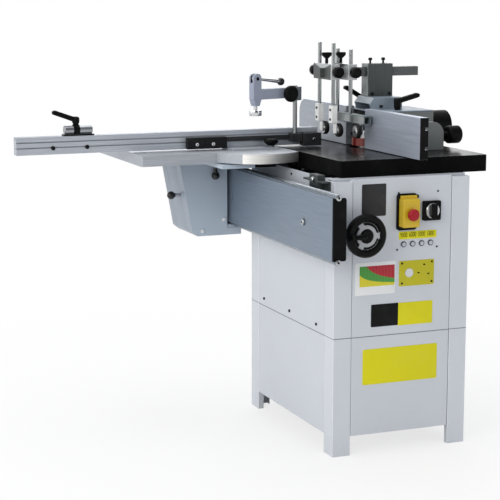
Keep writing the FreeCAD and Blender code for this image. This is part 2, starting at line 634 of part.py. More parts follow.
def pulley_profile(radius, bore, low, high):
    """A flanged pulley rim in section, from its bore out."""
    return [(bore, low), (radius + d.pulley_rim, low), (radius + d.pulley_rim, low + d.pulley_rim),
            (radius, low + d.pulley_rim), (radius, high - d.pulley_rim),
            (radius + d.pulley_rim, high - d.pulley_rim),
            (radius + d.pulley_rim, high), (bore, high)]


shaft_top = plate_top + d.motor_height - d.motor_cap - d.shaft_end_gap
motor_pulley_ring = pulley_profile(d.motor_pulley_radius, d.motor_shaft, d.pulley_bottom, pulley_top)
node("motor_pulley", turned("motor_pulley", [(0, d.pulley_bottom)] + motor_pulley_ring[1:] + [
    (d.motor_shaft, shaft_top), (0, shaft_top)], (motor_x, motor_y, 0)))

# Belt: the loop round both pulleys, made from the two circles and their outer tangents.
belt_low = d.pulley_bottom + (d.pulley_wide - d.belt_wide) / 2


def loop_face(grow):
    """The face inside a belt line that clears both pulleys by grow."""
    ends = [(Vector(d.spindle_x.value, d.spindle_y.value, 0), d.spindle_pulley_radius.value + grow),
            (Vector(motor_x.value, motor_y.value, 0), d.motor_pulley_radius.value + grow)]
    (a, ra), (b, rb) = ends
    along = b - a
    span = along.Length
    heading = math.atan2(along.y, along.x)
    lean = math.acos((ra - rb) / span)
    spots = []
    for centre, radius in ends:
        spots.append([centre + Vector(math.cos(heading + s * lean), math.sin(heading + s * lean),
                                      0) * radius
                      for s in (1, -1)])
    far_a = a - along.normalize() * ra
    far_b = b + Vector(math.cos(heading), math.sin(heading), 0) * rb
    edges = [Part.Arc(spots[0][0], far_a, spots[0][1]).toShape(),
             Part.LineSegment(spots[0][1], spots[1][1]).toShape(),
             Part.Arc(spots[1][1], far_b, spots[1][0]).toShape(),
             Part.LineSegment(spots[1][0], spots[0][0]).toShape()]
    return Part.Face(Part.Wire(edges))


belt = doc.addObject("Part::Feature", "drive_belt")
ring_face = loop_face(d.belt_clear.value + d.belt_thick.value).cut(loop_face(d.belt_clear.value))
belt.Shape = ring_face.extrude(Vector(0, 0, d.belt_wide.value))
belt.Placement = Placement(Vector(0, 0, belt_low.value), Rotation())
node("drive_belt", belt)

# Spindle: the arbor turns in two bearings. Its collar carries spacer rings, the cutter
# block and the nut; the flanged pulley is turned on its lower end.
collar_bottom = d.quill_top + d.ring_clear
collar_top = collar_bottom + d.collar_thick
cutter_top = d.cutter_bottom + d.cutter_thick
ring_top = cutter_top + d.top_ring_thick
spindle_groove = pulley_profile(d.spindle_pulley_radius, d.arbor_end_radius, d.pulley_bottom,
                                pulley_top)
node("spindle_shaft", turned("spindle_shaft", [
    (0, d.pulley_bottom - d.pulley_rim), (d.arbor_end_radius,
                                          d.pulley_bottom - d.pulley_rim)] + spindle_groove[:-1] + [
    (d.arbor_radius, pulley_top), (d.arbor_radius, collar_bottom),
    (d.collar_radius, collar_bottom), (d.collar_radius, collar_top), (d.arbor_radius, collar_top),
    (d.arbor_radius, ring_top), (d.arbor_end_radius, ring_top), (d.arbor_end_radius, d.arbor_top),
    (0, d.arbor_top)], spindle_foot))
low_ring = turned("low_ring", rectangle(d.arbor_radius, collar_top, d.collar_radius, d.cutter_bottom),
                  spindle_foot)
high_ring = turned("high_ring", rectangle(d.arbor_radius, cutter_top, d.collar_radius, ring_top),
                   spindle_foot)
flats = [(d.spindle_x + d.nut_across / 2 * (math.cos(math.radians(60 * i)) / math.cos(math.radians(30))),
          d.spindle_y + d.nut_across / 2 * (math.sin(math.radians(60 * i)) / math.cos(math.radians(30))))
         for i in range(6)]
nut = slab("arbor_nut", "Z", ring_top, ring_top + d.nut_thick, flats,
           bores=[(d.spindle_x, d.spindle_y, d.arbor_end_radius)])
node("spindle_rings", group("spindle_rings", low_ring, high_ring, nut))

cutter = slab("cutter_block", "Z", 0, d.cutter_thick, None,
              bores=[(0, 0, d.cutter_radius), (0, 0, d.arbor_radius)],
              at=(d.spindle_x, d.spindle_y, d.cutter_bottom))
gullet = sketch(cutter, "XY_Plane", 0)
polygon(gullet, [(d.cutter_radius - d.gullet_deep, 0), (d.cutter_radius + d.gullet_deep, 0),
                 (d.cutter_radius + d.gullet_deep, d.gullet_wide),
                 (d.cutter_radius - d.gullet_deep / 2, d.gullet_wide)])
gullet_cut = cutter.newObject("PartDesign::Pocket", "gullet_cut")
gullet_cut.Profile = gullet
gullet_cut.setExpression("Length", d.cutter_thick.text)
gullet_cut.Reversed = True
gullets = cutter.newObject("PartDesign::PolarPattern", "gullets")
gullets.Originals = [gullet_cut]
gullets.Axis = (gullet, ["N_Axis"])
gullets.Angle = 360
gullets.Occurrences = 4
cutter.Tip = gullets
node("cutter_block", cutter)

# Lift drive: the handwheel shaft ends in a bevel pinion, in mesh with a bevel gear on
# the vertical screw that runs through the nut arm.
pitch, face_wide, hub = d.bevel_radius, d.bevel_face, d.bevel_hub
gap = d.bevel_clear
node("lift_screw", turned("lift_screw", [
    (0, pedestal_top - d.pedestal_half), (d.screw_journal, pedestal_top - d.pedestal_half),
    (d.screw_journal, pedestal_top), (hub, pedestal_top), (hub, gear_back), (pitch - gap, gear_back),
    (pitch - face_wide - gap, gear_back + face_wide), (d.screw_radius, gear_back + face_wide),
    (d.screw_radius, d.screw_top), (0, d.screw_top)], screw_at))
hub_front = front - d.wheel_hub_front
pinion_face = d.spindle_y - pitch + face_wide
node("handwheel_shaft", turned("handwheel_shaft", [
    (0, hub_front), (d.hand_shaft, hub_front), (d.hand_shaft, d.spindle_y - pitch - hub),
    (hub, d.spindle_y - pitch - hub), (hub, d.spindle_y - pitch), (pitch - gap, d.spindle_y - pitch),
    (pitch - face_wide - gap, pinion_face), (0, pinion_face)], (hand_x, 0, d.hand_height), "Y"))

# Handwheel: a deep dish with a ring of three lugs round its hub, and a handle hinged on
# the rim that folds flat across the dish.
wheel_at = (hand_x, 0, d.hand_height)
rim_back, rim_front = front - d.hand_rim_back, front - d.hand_rim_front
web_back_y = front - d.wheel_web_back
web_front = web_back_y - d.wheel_web_thick
edge = d.wheel_edge
dish = turned("wheel_dish", [
    (d.hand_shaft, front - d.wheel_hub_back), (d.wheel_hub, front - d.wheel_hub_back),
    (d.wheel_hub, web_back_y),
    (d.wheel_web_inner, web_back_y), (d.wheel_web_inner + edge, rim_back),
    (d.hand_radius - edge, rim_back),
    (d.hand_radius, rim_back - edge), (d.hand_radius, rim_front + edge),
    (d.hand_radius - edge, rim_front),
    (d.wheel_web_inner + edge, rim_front), (d.wheel_web_inner, web_front), (d.wheel_hub, web_front),
    (d.wheel_hub, hub_front), (d.hand_shaft, hub_front)], wheel_at, "Y")
lug_ring = slab("lug_ring", "Z", 0, d.lug_thick, None, bores=[(0, 0, d.lug_ring_outer),
    (0, 0, d.lug_ring_inner)],
                at=(hand_x, web_front, d.hand_height), facing="-Y")
lug_plan = sketch(lug_ring, "XY_Plane")
lug_mid = (d.lug_ring_inner + d.lug_ring_outer) / 2
polygon(lug_plan, rectangle(lug_mid, -d.lug_wide / 2, d.lug_reach, d.lug_wide / 2))
lug_pad = lug_ring.newObject("PartDesign::Pad", "lug_pad")
lug_pad.Profile = lug_plan
lug_pad.setExpression("Length", d.lug_thick.text)
lugs = lug_ring.newObject("PartDesign::PolarPattern", "lugs")
lugs.Originals = [lug_pad]
lugs.Axis = (lug_plan, ["N_Axis"])
lugs.Angle = 360
lugs.Occurrences = 3
lug_ring.Tip = lugs
fold_x = hand_x - d.fold_at
fold_y = rim_front - d.fold_out
fold_top = d.hand_height + d.fold_half + d.fold_ear
ears = []
for name, low in (("high", d.hand_height + d.fold_half),
                  ("low", d.hand_height - d.fold_half - d.fold_ear)):
    ears.append(box("fold_ear_" + name, fold_x - d.fold_radius, fold_y - d.fold_radius, low,
                    fold_x + d.fold_radius,
                    rim_front + edge, low + d.fold_ear))
fold_pin = cylinder("fold_pin", d.fold_pin, (d.fold_half + d.fold_ear) * 2,
                    (fold_x, fold_y, d.hand_height - d.fold_half - d.fold_ear))
node("handwheel", fuse("handwheel", dish, lug_ring, fold_pin, *ears))
knuckle_half = d.fold_half - d.ring_clear
knuckle_barrel = slab("crank_knuckle", "Z", d.hand_height - knuckle_half, d.hand_height + knuckle_half,
                      None,
                      bores=[(fold_x, fold_y, d.fold_radius)])
handle = turned("crank_grip_turned", [
    (0, 0), (d.crank_neck - 1, 0), (d.crank_neck - 1, d.fold_radius + 3),
    (d.crank_grip - 2, d.fold_radius + 6),
    (d.crank_grip, d.crank_length * 0.6), (d.crank_grip - 2, d.crank_length - 3),
    (d.crank_grip - 5, d.crank_length),
    (0, d.crank_length)], (fold_x, fold_y, d.hand_height), "X")
knuckle_hole = cylinder("crank_hole", d.fold_pin + d.run_clear, d.fold_half * 2,
                        (fold_x, fold_y, d.hand_height - d.fold_half))
node("crank_handle", cut("crank_handle", fuse("crank_shape", knuckle_barrel, handle), knuckle_hole))

# Carriage beam: a hollow aluminium section with a steel guide rod along its top and its
# bottom, a cap on each end, and brackets that hold it off the cabinet.
beam_right = d.beam_left + d.beam_wide
beam_back = d.beam_front + d.beam_length
web_low = d.beam_bottom + d.beam_web_at
cell = (d.beam_left + d.beam_wall, beam_right - d.beam_wall)
cap_in_front, cap_in_back = d.beam_front + d.cap_thick, beam_back - d.cap_thick
beam = slab("beam_section", "Y", cap_in_front, cap_in_back,
            rectangle(d.beam_left, d.beam_bottom, beam_right, d.beam_top),
            holes=[rectangle(cell[0], d.beam_bottom + d.beam_wall, cell[1], web_low),
                   rectangle(cell[0], web_low + d.beam_web, cell[1], d.beam_top - d.beam_wall)])
bolt_z = (d.bracket_bottom + d.bracket_top) / 2
brackets_y = (front + d.bracket_front, back - d.bracket_inset)
bolts_y = [y + d.bracket_wide / 2 for y in brackets_y]
pocket(beam, "X", d.beam_left, bores=[(y, bolt_z, d.bolt_hole) for y in bolts_y], depth=d.beam_wall,
       upward=True)
caps = []
for name, y0, y1 in (("cap_front", d.beam_front, cap_in_front), ("cap_back", cap_in_back, beam_back)):
    cap = slab(name, "Y", y0, y1, rectangle(d.beam_left, d.beam_bottom, beam_right, d.beam_top))
    soften(cap, d.cap_round, lambda edge: runs_along(edge, "Y"))
    caps.append(cap)
node("carriage_beam", group("carriage_beam", beam, *caps))
rod_x = d.beam_left + d.rod_inset
rod_high, rod_low = d.beam_top + d.rod_rise, d.beam_bottom - d.rod_rise
rod_front = d.beam_front - d.rod_overhang
rod_long = d.beam_length + d.rod_overhang * 2
guide_rods = []
for name, z, flat0, flat1 in (("high_rod", rod_high, d.beam_top - d.rod_radius, d.beam_top),
                              ("low_rod", rod_low, d.beam_bottom, d.beam_bottom + d.rod_radius)):
    bar = cylinder(name + "_bar", d.rod_radius, rod_long, (rod_x, rod_front, z), "Y")
    flat = box(name + "_flat", rod_x - d.rod_radius, rod_front, flat0, rod_x + d.rod_radius,
               rod_front + rod_long, flat1)
    guide_rods.append(cut(name, bar, flat))
node("guide_rods", group("guide_rods", *guide_rods))

mounts = []
for name, y0 in zip(("front", "back"), brackets_y):
    y1 = y0 + d.bracket_wide
    wall = d.bracket_sheet
    mounts.append(slab("bracket_" + name, "Z", d.bracket_bottom, d.bracket_top, [
        (beam_right, y0), (left, y0), (left, y1), (beam_right, y1), (beam_right, y1 - wall),
        (left - wall, y1 - wall),
        (left - wall, y0 + wall), (beam_right, y0 + wall)]))
    mounts.append(turned("bolt_" + name, [
        (0, 0), (d.bolt_head, 0), (d.bolt_head, d.bolt_head_thick - 2),
        (d.bolt_head - 2, d.bolt_head_thick),
        (0, d.bolt_head_thick)], (beam_right - d.beam_wall, y0 + d.bracket_wide / 2, bolt_z), "-X"))
angle_y = front + d.angle_front
mounts.append(slab("top_angle", "Y", angle_y, angle_y + d.angle_length, [
    (left, d.angle_top), (left - d.angle_leg, d.angle_top),
    (left - d.angle_leg, d.angle_top - d.angle_sheet),
    (left - d.angle_sheet, d.angle_top - d.angle_sheet),
    (left - d.angle_sheet, d.angle_top - d.angle_leg),
    (left, d.angle_top - d.angle_leg)]))
node("beam_brackets", group("beam_brackets", *mounts))

# Saddle: two gusset plates with folded edges under a top plate, and slide shoes that
# straddle the two guide rods.
saddle_back = d.saddle_front + d.saddle_length
slide_bottom = d.table_top - d.slide_thick
plate_bottom_z = slide_bottom - d.saddle_plate
gusset_right = d.beam_left - d.saddle_gap
tongue_top = d.saddle_bottom + d.saddle_tongue
steel = d.saddle_sheet
gusset = [(d.saddle_top_left, plate_bottom_z), (d.saddle_low_left, d.saddle_knee),
          (d.saddle_foot_left, d.saddle_bottom),
          (beam_right - 1, d.saddle_bottom), (beam_right - 1, tongue_top), (gusset_right, tongue_top),
          (gusset_right, plate_bottom_z)]
fold = [(d.saddle_top_left, plate_bottom_z), (d.saddle_low_left, d.saddle_knee),
        (d.saddle_foot_left, d.saddle_bottom),
        (beam_right - 1, d.saddle_bottom), (beam_right - 1, d.saddle_bottom + steel),
        (d.saddle_foot_left + steel / 2, d.saddle_bottom + steel),
        (d.saddle_low_left + steel, d.saddle_knee + steel / 2),
        (d.saddle_top_left + steel, plate_bottom_z)]
shoe_left = rod_x - d.shoe_wide / 2
shoe_right = rod_x + d.shoe_wide / 2
shoe_y0, shoe_y1 = d.saddle_front + steel, saddle_back - steel
rod_top, rod_under = rod_high + d.rod_radius, rod_low - d.rod_radius
top_shoe = slab("top_shoe", "Y", shoe_y0, shoe_y1, rectangle(shoe_left, d.beam_top + d.shoe_wall,
    shoe_right, plate_bottom_z))
low_shoe = slab("low_shoe", "Y", shoe_y0, shoe_y1,
                rectangle(shoe_left, d.saddle_bottom + steel, shoe_right, d.beam_bottom - d.shoe_wall))
shoe_bores = [cylinder("shoe_bore_" + name, d.rod_radius + d.shoe_clear, d.saddle_length,
                       (rod_x, d.saddle_front, z), "Y")
              for name, z in (("high", rod_high), ("low", rod_low))]
lock_span = (d.lock_height - d.saddle_knee) / (plate_bottom_z - d.saddle_knee)
lock_wall = d.saddle_low_left + (d.saddle_top_left - d.saddle_low_left) * lock_span
lock_y = d.saddle_front + d.saddle_flange / 2
lock_face = lock_wall - d.lock_boss_out
lock_boss = cylinder("lock_boss", d.lock_boss, d.lock_boss_out + steel * 2,
                     (lock_face, lock_y, d.lock_height), "X")
saddle_parts = [
    slab("gusset_front", "Y", d.saddle_front, shoe_y0, gusset),
    slab("gusset_back", "Y", shoe_y1, saddle_back, gusset),
    slab("fold_front", "Y", d.saddle_front, d.saddle_front + d.saddle_flange, fold),
    slab("fold_back", "Y", saddle_back - d.saddle_flange, saddle_back, fold),
    box("saddle_top", d.saddle_top_left, d.saddle_front, plate_bottom_z, beam_right, saddle_back,
        slide_bottom),
    top_shoe, low_shoe, lock_boss]
node("saddle", cut("saddle", fuse("saddle_frame", *saddle_parts), *shoe_bores))

# Sliding table: an aluminium plate with a hollow wing and a round mitre disc that
# swells out of its front edge.
slide_back = d.slide_front + d.slide_depth
slide_right = d.table_left - d.slide_gap
wing_plate = slab("slide_plate", "Z", slide_bottom, d.table_top,
                  rectangle(d.slide_left, d.slide_front, slide_right, slide_back))
soften(wing_plate, d.slide_corner, lambda edge: runs_along(edge, "Z"))
pocket(wing_plate, "Z", slide_bottom, rectangle(
    d.slide_left + d.slide_wall, d.slide_front + d.slide_wall, d.saddle_top_left - d.slide_wall,
    slide_back - d.slide_wall),
    depth=d.slide_thick - d.slide_plate, upward=True)
disc = cylinder("mitre_disc", d.disc_radius, d.disc_thick,
                (d.disc_x, d.disc_y, d.table_top - d.disc_thick))
disc_limit = box("disc_limit", d.disc_x - d.disc_radius, d.disc_y - d.disc_radius,
                 d.table_top - d.disc_thick,
                 slide_right, d.disc_y + d.disc_radius, d.table_top)
disc_trimmed = doc.addObject("Part::Common", "disc_trimmed")
disc_trimmed.Base = disc
disc_trimmed.Tool = disc_limit
pin_bore = cylinder("pivot_bore", d.pivot_pin + d.run_clear, d.pivot_pin_depth + 1,
                    (d.disc_x, d.disc_y, d.table_top - d.pivot_pin_depth - 1))
node("sliding_table", cut("sliding_table", fuse("slide_casting", wing_plate, disc_trimmed), pin_bore))

# Levers on the saddle: a screw with a ball knob through the folded edge, and a swinging
# ball lever on the front gusset.
stem_end = d.ball_stem_long
node("lock_knob", turned("lock_knob", ball_profile(d.ball_radius, stem_end + d.ball_radius * 2,
                                                   d.ball_stem, 0),
                         (lock_face, lock_y, d.lock_height), "-X"))
swing_x = d.swing_x
swing_hub_long = d.swing_out + d.swing_hub
swing_hub = cylinder("swing_hub", d.swing_hub, swing_hub_long,
                     (swing_x, d.saddle_front, d.swing_height), "-Y")
swing_ball = turned("swing_ball", ball_profile(d.ball_radius, d.swing_drop + d.ball_radius, d.ball_stem,
                                               0),
                    (swing_x, d.saddle_front - d.swing_out, d.swing_height), "-Z")
node("swing_lever", fuse("swing_lever", swing_hub, swing_ball))

# Mitre rail: a slotted aluminium section on a plate that pivots in the disc, with a
# lock knob, a black pad, a strip, an end block and the foot of the hold-down column.
rail_y = d.disc_y + d.rail_offset
rail_far = rail_y + d.rail_depth
rail_top = d.rail_bottom + d.rail_height
rail_mid = rail_y + d.rail_depth / 2
slot_low0, slot_high0 = d.rail_bottom + d.rail_slot_low, d.rail_bottom + d.rail_slot_high
slot_in = rail_y + d.rail_slot_deep
half_slot = d.rail_top_slot / 2
rail = slab("mitre_rail", "X", d.rail_left, d.rail_right, [
    (rail_y, d.rail_bottom), (rail_far, d.rail_bottom), (rail_far, rail_top),
    (rail_mid + half_slot, rail_top),
    (rail_mid + half_slot, rail_top - d.rail_top_deep),
    (rail_mid - half_slot, rail_top - d.rail_top_deep),
    (rail_mid - half_slot, rail_top), (rail_y, rail_top), (rail_y, slot_high0 + d.rail_slot),
    (slot_in, slot_high0 + d.rail_slot), (slot_in, slot_high0), (rail_y, slot_high0),
    (rail_y, slot_low0 + d.rail_slot),
    (slot_in, slot_low0 + d.rail_slot), (slot_in, slot_low0), (rail_y, slot_low0)])
pivot_plate = box("pivot_plate", d.pivot_left, d.pivot_front, d.table_top, d.pivot_right, rail_far,
                  d.rail_bottom)
pivot_stud = cylinder("pivot_stud", d.pivot_pin, d.pivot_pin_depth,
                      (d.disc_x, d.disc_y, d.table_top - d.pivot_pin_depth))
node("mitre_rail", group("mitre_rail", rail, fuse("rail_pivot", pivot_plate, pivot_stud)))
rail_pad = box("rail_pad", d.pad_left, rail_y - d.pad_thick, d.rail_bottom, d.pad_right, rail_y,
               d.rail_bottom + d.pad_height)
strip = box("rail_strip", d.pad_right, rail_y - d.strip_thick, d.rail_bottom + d.strip_low, d.foot_left,
            rail_y,
            d.rail_bottom + d.strip_low + d.strip_height)
hold_foot = box("hold_foot_block", d.foot_left, rail_y - d.foot_thick, d.rail_bottom + d.foot_low,
                d.foot_right, rail_y,
                d.rail_bottom + d.foot_high)
end_block = box("end_block", d.end_left, rail_y - d.end_thick, d.end_low, d.rail_right, rail_y,
                d.end_low + d.end_height)
hold_y = rail_y - d.foot_thick / 2
column_low = d.rail_bottom + d.foot_high
hold_column = cylinder("hold_column", d.hold_column, d.hold_column_top - column_low,
                       (d.hold_x, hold_y, column_low))
node("rail_blocks", group("rail_blocks", rail_pad, strip, hold_foot, end_block, hold_column))
star_top = d.star_stem_high + d.star_high
node("star_knob", turned("star_knob", [
    (0, 0), (d.star_stem, 0), (d.star_stem + 2, d.star_stem_high * 0.5),
    (d.star_radius - 3, d.star_stem_high),
    (d.star_radius, d.star_stem_high + 4), (d.star_radius, star_top - 5),
    (d.star_radius - 4, star_top - 1),
    (d.star_radius - 9, star_top), (0, star_top)], (d.star_x, d.disc_y, d.rail_bottom)))

# Length stop: a plate that rides along the top of the rail, with a turned barrel along
# it, a wider ring in the middle of the barrel and a clamp lever on the ring.
stop_right = d.stop_left + d.stop_length
stop_floor = rail_top + d.stop_plate
barrel_z = stop_floor + d.stop_barrel - d.stop_sink
barrel_start = d.stop_left + (d.stop_length - d.stop_barrel_long) / 2
ring_start, ring_end = d.stop_ring_at, d.stop_ring_at + d.stop_ring_long
stop_base = box("stop_base", d.stop_left, rail_y, rail_top, stop_right, rail_far, stop_floor)
soften(stop_base, 3, lambda edge: runs_along(edge, "Z"))
barrel_edge = 2
barrel = turned("stop_barrel", [
    (0, 0), (d.stop_barrel - barrel_edge, 0), (d.stop_barrel, barrel_edge), (d.stop_barrel, ring_start),
    (d.stop_ring, ring_start), (d.stop_ring, ring_end), (d.stop_barrel, ring_end),
    (d.stop_barrel, d.stop_barrel_long - barrel_edge), (d.stop_barrel - barrel_edge,
                                                        d.stop_barrel_long),
    (0, d.stop_barrel_long)], (barrel_start, rail_mid, barrel_z), "X")
seat_half = d.stop_ring_long / 2 - 2
seat_x = barrel_start + (ring_start + ring_end) / 2
seat_top = barrel_z + d.stop_ring + 1
lever_seat = box("lever_seat", seat_x - seat_half, rail_mid - seat_half, barrel_z, seat_x + seat_half,
                 rail_mid + seat_half,
                 seat_top)
node("flip_stop", fuse("flip_stop", stop_base, barrel, lever_seat))


def clamp_lever(name, at, reach_x, rise, arm_half, hub_h):
    """A clamp lever: a tapered hub on its screw and an arm that rises to a thick end."""
    hub_r = d.clamp_hub
    hub_turn = turned(name + "_hub", [(0, 0), (hub_r - 3, 0), (hub_r, hub_h * 0.3), (hub_r, hub_h - 4),
                                      (hub_r - 4, hub_h), (0, hub_h)], at)
    x, y, z = at
    high = z + hub_h
    low = high - hub_r * 1.6
    tip = x + reach_x
    inset = 8 if size_of(reach_x).value > 0 else -8
    arm = slab(name + "_arm", "Y", y - arm_half, y + arm_half, [
        (x, low), (tip - inset, low + rise + 2), (tip, low + rise + 5), (tip, high + rise - 4),
        (tip - inset, high + rise - 1),
        (x, high - 2)])
    soften(arm, 3, lambda edge: runs_along(edge, "Y"))
    return fuse(name, hub_turn, arm)


stop_pivot = (seat_x, rail_mid, seat_top)
node("stop_lever", clamp_lever("stop_lever", stop_pivot, -d.stop_lever_reach, d.stop_lever_rise,
                               d.clamp_arm,
                               d.stop_hub_height))

# Hold-down on the chrome column: a sliding arm, a clamp knob, and an eccentric lever
# that pushes a plunger and its foot. The arm's parts are drawn about the column's axis
# and turned together towards the front.


def turn_about_column(thing):
    thing.setExpression("Placement.Rotation.Angle", d.hold_turn.text)
    thing.setExpression("Placement.Base.x", d.hold_x.text)
    thing.setExpression("Placement.Base.y", hold_y.text)
    return thing


hub_low = d.hold_hub_bottom
arm_low, arm_high = hub_low + d.arm_low, hub_low + d.arm_high
cam_height = hub_low + d.cam_rise
nose_top = cam_height + d.cam_cap
nose_tip = hub_low - d.nose_drop
nose_left, nose_right = -d.hold_reach - d.hold_nose_half, -d.hold_reach + d.hold_nose_half
arm_side = slab("hold_arm_side", "Y", -d.hold_arm_half, d.hold_arm_half, [
    (0, arm_low), (nose_right, arm_low), (-d.hold_reach + d.nose_tip_half, nose_tip),
    (-d.hold_reach - d.nose_tip_half, nose_tip), (nose_left, nose_tip + d.nose_drop * 2),
    (nose_left, nose_top),
    (nose_right, nose_top), (nose_right, arm_high), (0, arm_high)])
soften(arm_side, d.hold_nose_half - 1,
       lambda edge: runs_along(edge, "Y") and near(middle(edge).z, nose_top))
soften(arm_side, d.arm_corner, lambda edge: runs_along(edge, "Y") and near(middle(edge).x, nose_right))
hold_hub = cylinder("hold_hub", d.hold_hub, d.hold_hub_height, (0, 0, hub_low))
cam_floor = cam_height - d.cam_radius - d.cam_gap
cam_room = box("cam_room", nose_left - 1, -d.cam_half - d.cam_gap, cam_floor, nose_right + 1,
               d.cam_half + d.cam_gap,
               nose_top + 1)
arm_bore = cylinder("arm_bore", d.hold_column + d.run_clear, d.hold_hub_height, (0, 0, hub_low))
plunger_bore = cylinder("plunger_bore", d.plunger_radius + d.run_clear, cam_floor - nose_tip,
                        (-d.hold_reach, 0, nose_tip))
cam_pin = cylinder("cam_pin", d.cam_pin, d.hold_arm_half * 2,
                   (-d.hold_reach, -d.hold_arm_half, cam_height), "Y")
arm_cut = cut("hold_arm_cut", fuse("hold_arm_casting", arm_side, hold_hub), cam_room, arm_bore,
              plunger_bore)
node("hold_arm", turn_about_column(fuse("hold_arm", arm_cut, cam_pin)))
cam = slab("cam_plate", "Y", -d.cam_half, d.cam_half, None,
           bores=[(-d.hold_reach, cam_height, d.cam_radius),
                  (-d.hold_reach, cam_height, d.cam_pin + d.run_clear)])
lever_slope = math.degrees(math.atan2(d.hold_lever_drop.value, d.hold_lever_length.value))
lever_rod = turned("hold_lever_rod", ball_profile(d.hold_ball, d.hold_lever_length, d.hold_lever_rod,
                                                  d.cam_radius - 3),
                   (-d.hold_reach, 0, cam_height))
lever_rod.Placement = Placement(Vector(), Rotation(Vector(0, 1, 0), 90 + lever_slope))
node("hold_lever", turn_about_column(fuse("hold_lever", cam, lever_rod)))
foot_top = nose_tip - d.foot_gap
foot_floor = foot_top - d.hold_foot_thick
plunger_top = cam_floor - d.plunger_gap
node("hold_foot", turn_about_column(group("hold_foot", turned("hold_foot_turned", [
    (0, foot_floor), (d.foot_radius - 2, foot_floor), (d.foot_radius, foot_floor + 3),
    (d.foot_radius, foot_floor + 6), (d.plunger_radius + 4, foot_top), (d.plunger_radius, foot_top),
    (d.plunger_radius, plunger_top), (0, plunger_top)], (-d.hold_reach, 0, 0)))))
node("hold_knob", turn_about_column(group("hold_knob", turned("hold_knob_turned", [
    (0, 0), (d.grip_stem, 0), (d.grip_stem, d.grip_gap), (d.hold_knob_radius - 4, d.grip_gap),
    (d.hold_knob_radius, d.grip_gap + 4), (d.hold_knob_radius, d.hold_knob_long - 5),
    (d.hold_knob_radius - 6, d.hold_knob_long), (0, d.hold_knob_long)],
    (-d.hold_knob_at, -d.hold_arm_half, hub_low + d.hold_knob_rise), "-Y"))))

# Fence: one casting with two wings, a hood round the cutter and a foot with a clamp slot
# on each side; two slotted fence plates slide along its wings.
plate_back = d.fence_face + d.plate_thick
wing_back = plate_back + d.wing_wall
hood_in = d.hood_half - d.hood_wall
hood_plan = [(plate_back, -d.wing_end), (wing_back, -d.wing_end), (wing_back, -d.hood_half),
             (d.hood_back, -d.hood_half),
             (d.hood_back, d.hood_half), (wing_back, d.hood_half), (wing_back, d.wing_end),
             (plate_back, d.wing_end),
             (plate_back, hood_in), (d.hood_back - d.hood_wall, hood_in),
             (d.hood_back - d.hood_wall, -hood_in),
             (plate_back, -hood_in)]
fence_parts = [slab("hood_wall_plan", "Z", d.table_top, d.casting_top, hood_plan)]
for name, sign in (("near", -1), ("far", 1)):
    y0, y1 = sign * d.web_at, sign * (d.web_at + d.web_thick)
    if sign < 0:
        y0, y1 = y1, y0
    web = slab("web_" + name, "Y", y0, y1, rectangle(plate_back, d.table_top, d.web_back, d.web_top))
    soften(web, d.web_round,
           lambda edge: runs_along(edge, "Y") and middle(edge).x > d.web_back.value - 1
           and middle(edge).z > d.web_top.value - 1)
    fence_parts.append(web)
    s0, s1 = sign * d.hood_half, sign * d.web_at
    slot_mid = (s0 + s1) / 2
    slot_x = (wing_back + d.shoe_back - d.shoe_slot_long) / 2
    fence_parts.append(slab("clamp_foot_" + name, "Z", d.table_top, d.table_top + d.shoe_thick,
                            rectangle(plate_back, s0, d.shoe_back, s1),
                            holes=[rectangle(slot_x, slot_mid - d.shoe_slot / 2,
                                             slot_x + d.shoe_slot_long,
                                             slot_mid + d.shoe_slot / 2)]))
adjust_y = -(d.web_at + d.web_thick / 2)
port_bore = cylinder("hood_port_bore", d.port_radius - d.port_wall, d.hood_wall,
                     (d.hood_back - d.hood_wall, 0, d.port_height), "X")
node("fence_casting", cut("fence_casting", fuse("fence_body", *fence_parts), port_bore))
cover_top = d.casting_top + d.cover_sheet
hood_left, hood_right = d.spindle_x + d.hood_box_left, d.spindle_x + d.hood_box_right
hood_top = cover_top + d.hood_box_high
mouth_top = cover_top + d.mouth_high
skin = d.hood_box_wall
cover_plate = box("hood_cover_plate", plate_back, -d.hood_half, d.casting_top, d.hood_back, d.hood_half,
                  cover_top)
lever_lug = box("lever_lug", d.spindle_x + d.lug_left, d.hood_half, cover_top - d.lug_deep,
                d.spindle_x + d.lug_right, d.lug_far,
                cover_top)
hood_box = slab("hood_box", "Y", d.hood_box_near, d.hood_half, [
    (hood_left, cover_top), (hood_left - d.visor_lean, mouth_top),
    (hood_left - d.visor_lean + d.visor_back, hood_top),
    (hood_right, hood_top), (hood_right, cover_top)])
hood_hollow = slab("hood_hollow", "Y", d.hood_box_near + d.mouth_margin, d.hood_half - d.mouth_margin, [
    (hood_left - d.visor_lean * 2, cover_top), (hood_left - d.visor_lean * 2, mouth_top),
    (hood_left + skin, mouth_top),
    (hood_left - d.visor_lean + d.visor_back + skin, hood_top - skin),
    (hood_right - skin, hood_top - skin),
    (hood_right - skin, cover_top)])
node("hood_cover", fuse("hood_cover", cover_plate, lever_lug, cut("hood_shell", hood_box, hood_hollow)))
node("extraction_port", turned("extraction_port", [
    (d.port_radius - d.port_wall, 0), (d.port_flange, 0), (d.port_flange, d.port_flange_thick),
    (d.port_radius, d.port_flange_thick), (d.port_radius, d.port_long),
    (d.port_radius - d.port_wall, d.port_long)],
    (d.hood_back, 0, d.port_height), "X"))


def fence_plate(name, y0, y1):
    low, high = d.plate_bottom, d.plate_bottom + d.plate_height
    inner = plate_back - d.plate_slot_deep
    section = [(d.fence_face, low), (plate_back, low)]
    for at in (d.plate_slot_low, d.plate_slot_high):
        z0, z1 = low + at - d.plate_slot / 2, low + at + d.plate_slot / 2
        section += [(plate_back, z0), (inner, z0), (inner, z1), (plate_back, z1)]
    section += [(plate_back, high), (d.fence_face, high)]
    return slab(name, "Y", y0, y1, section)


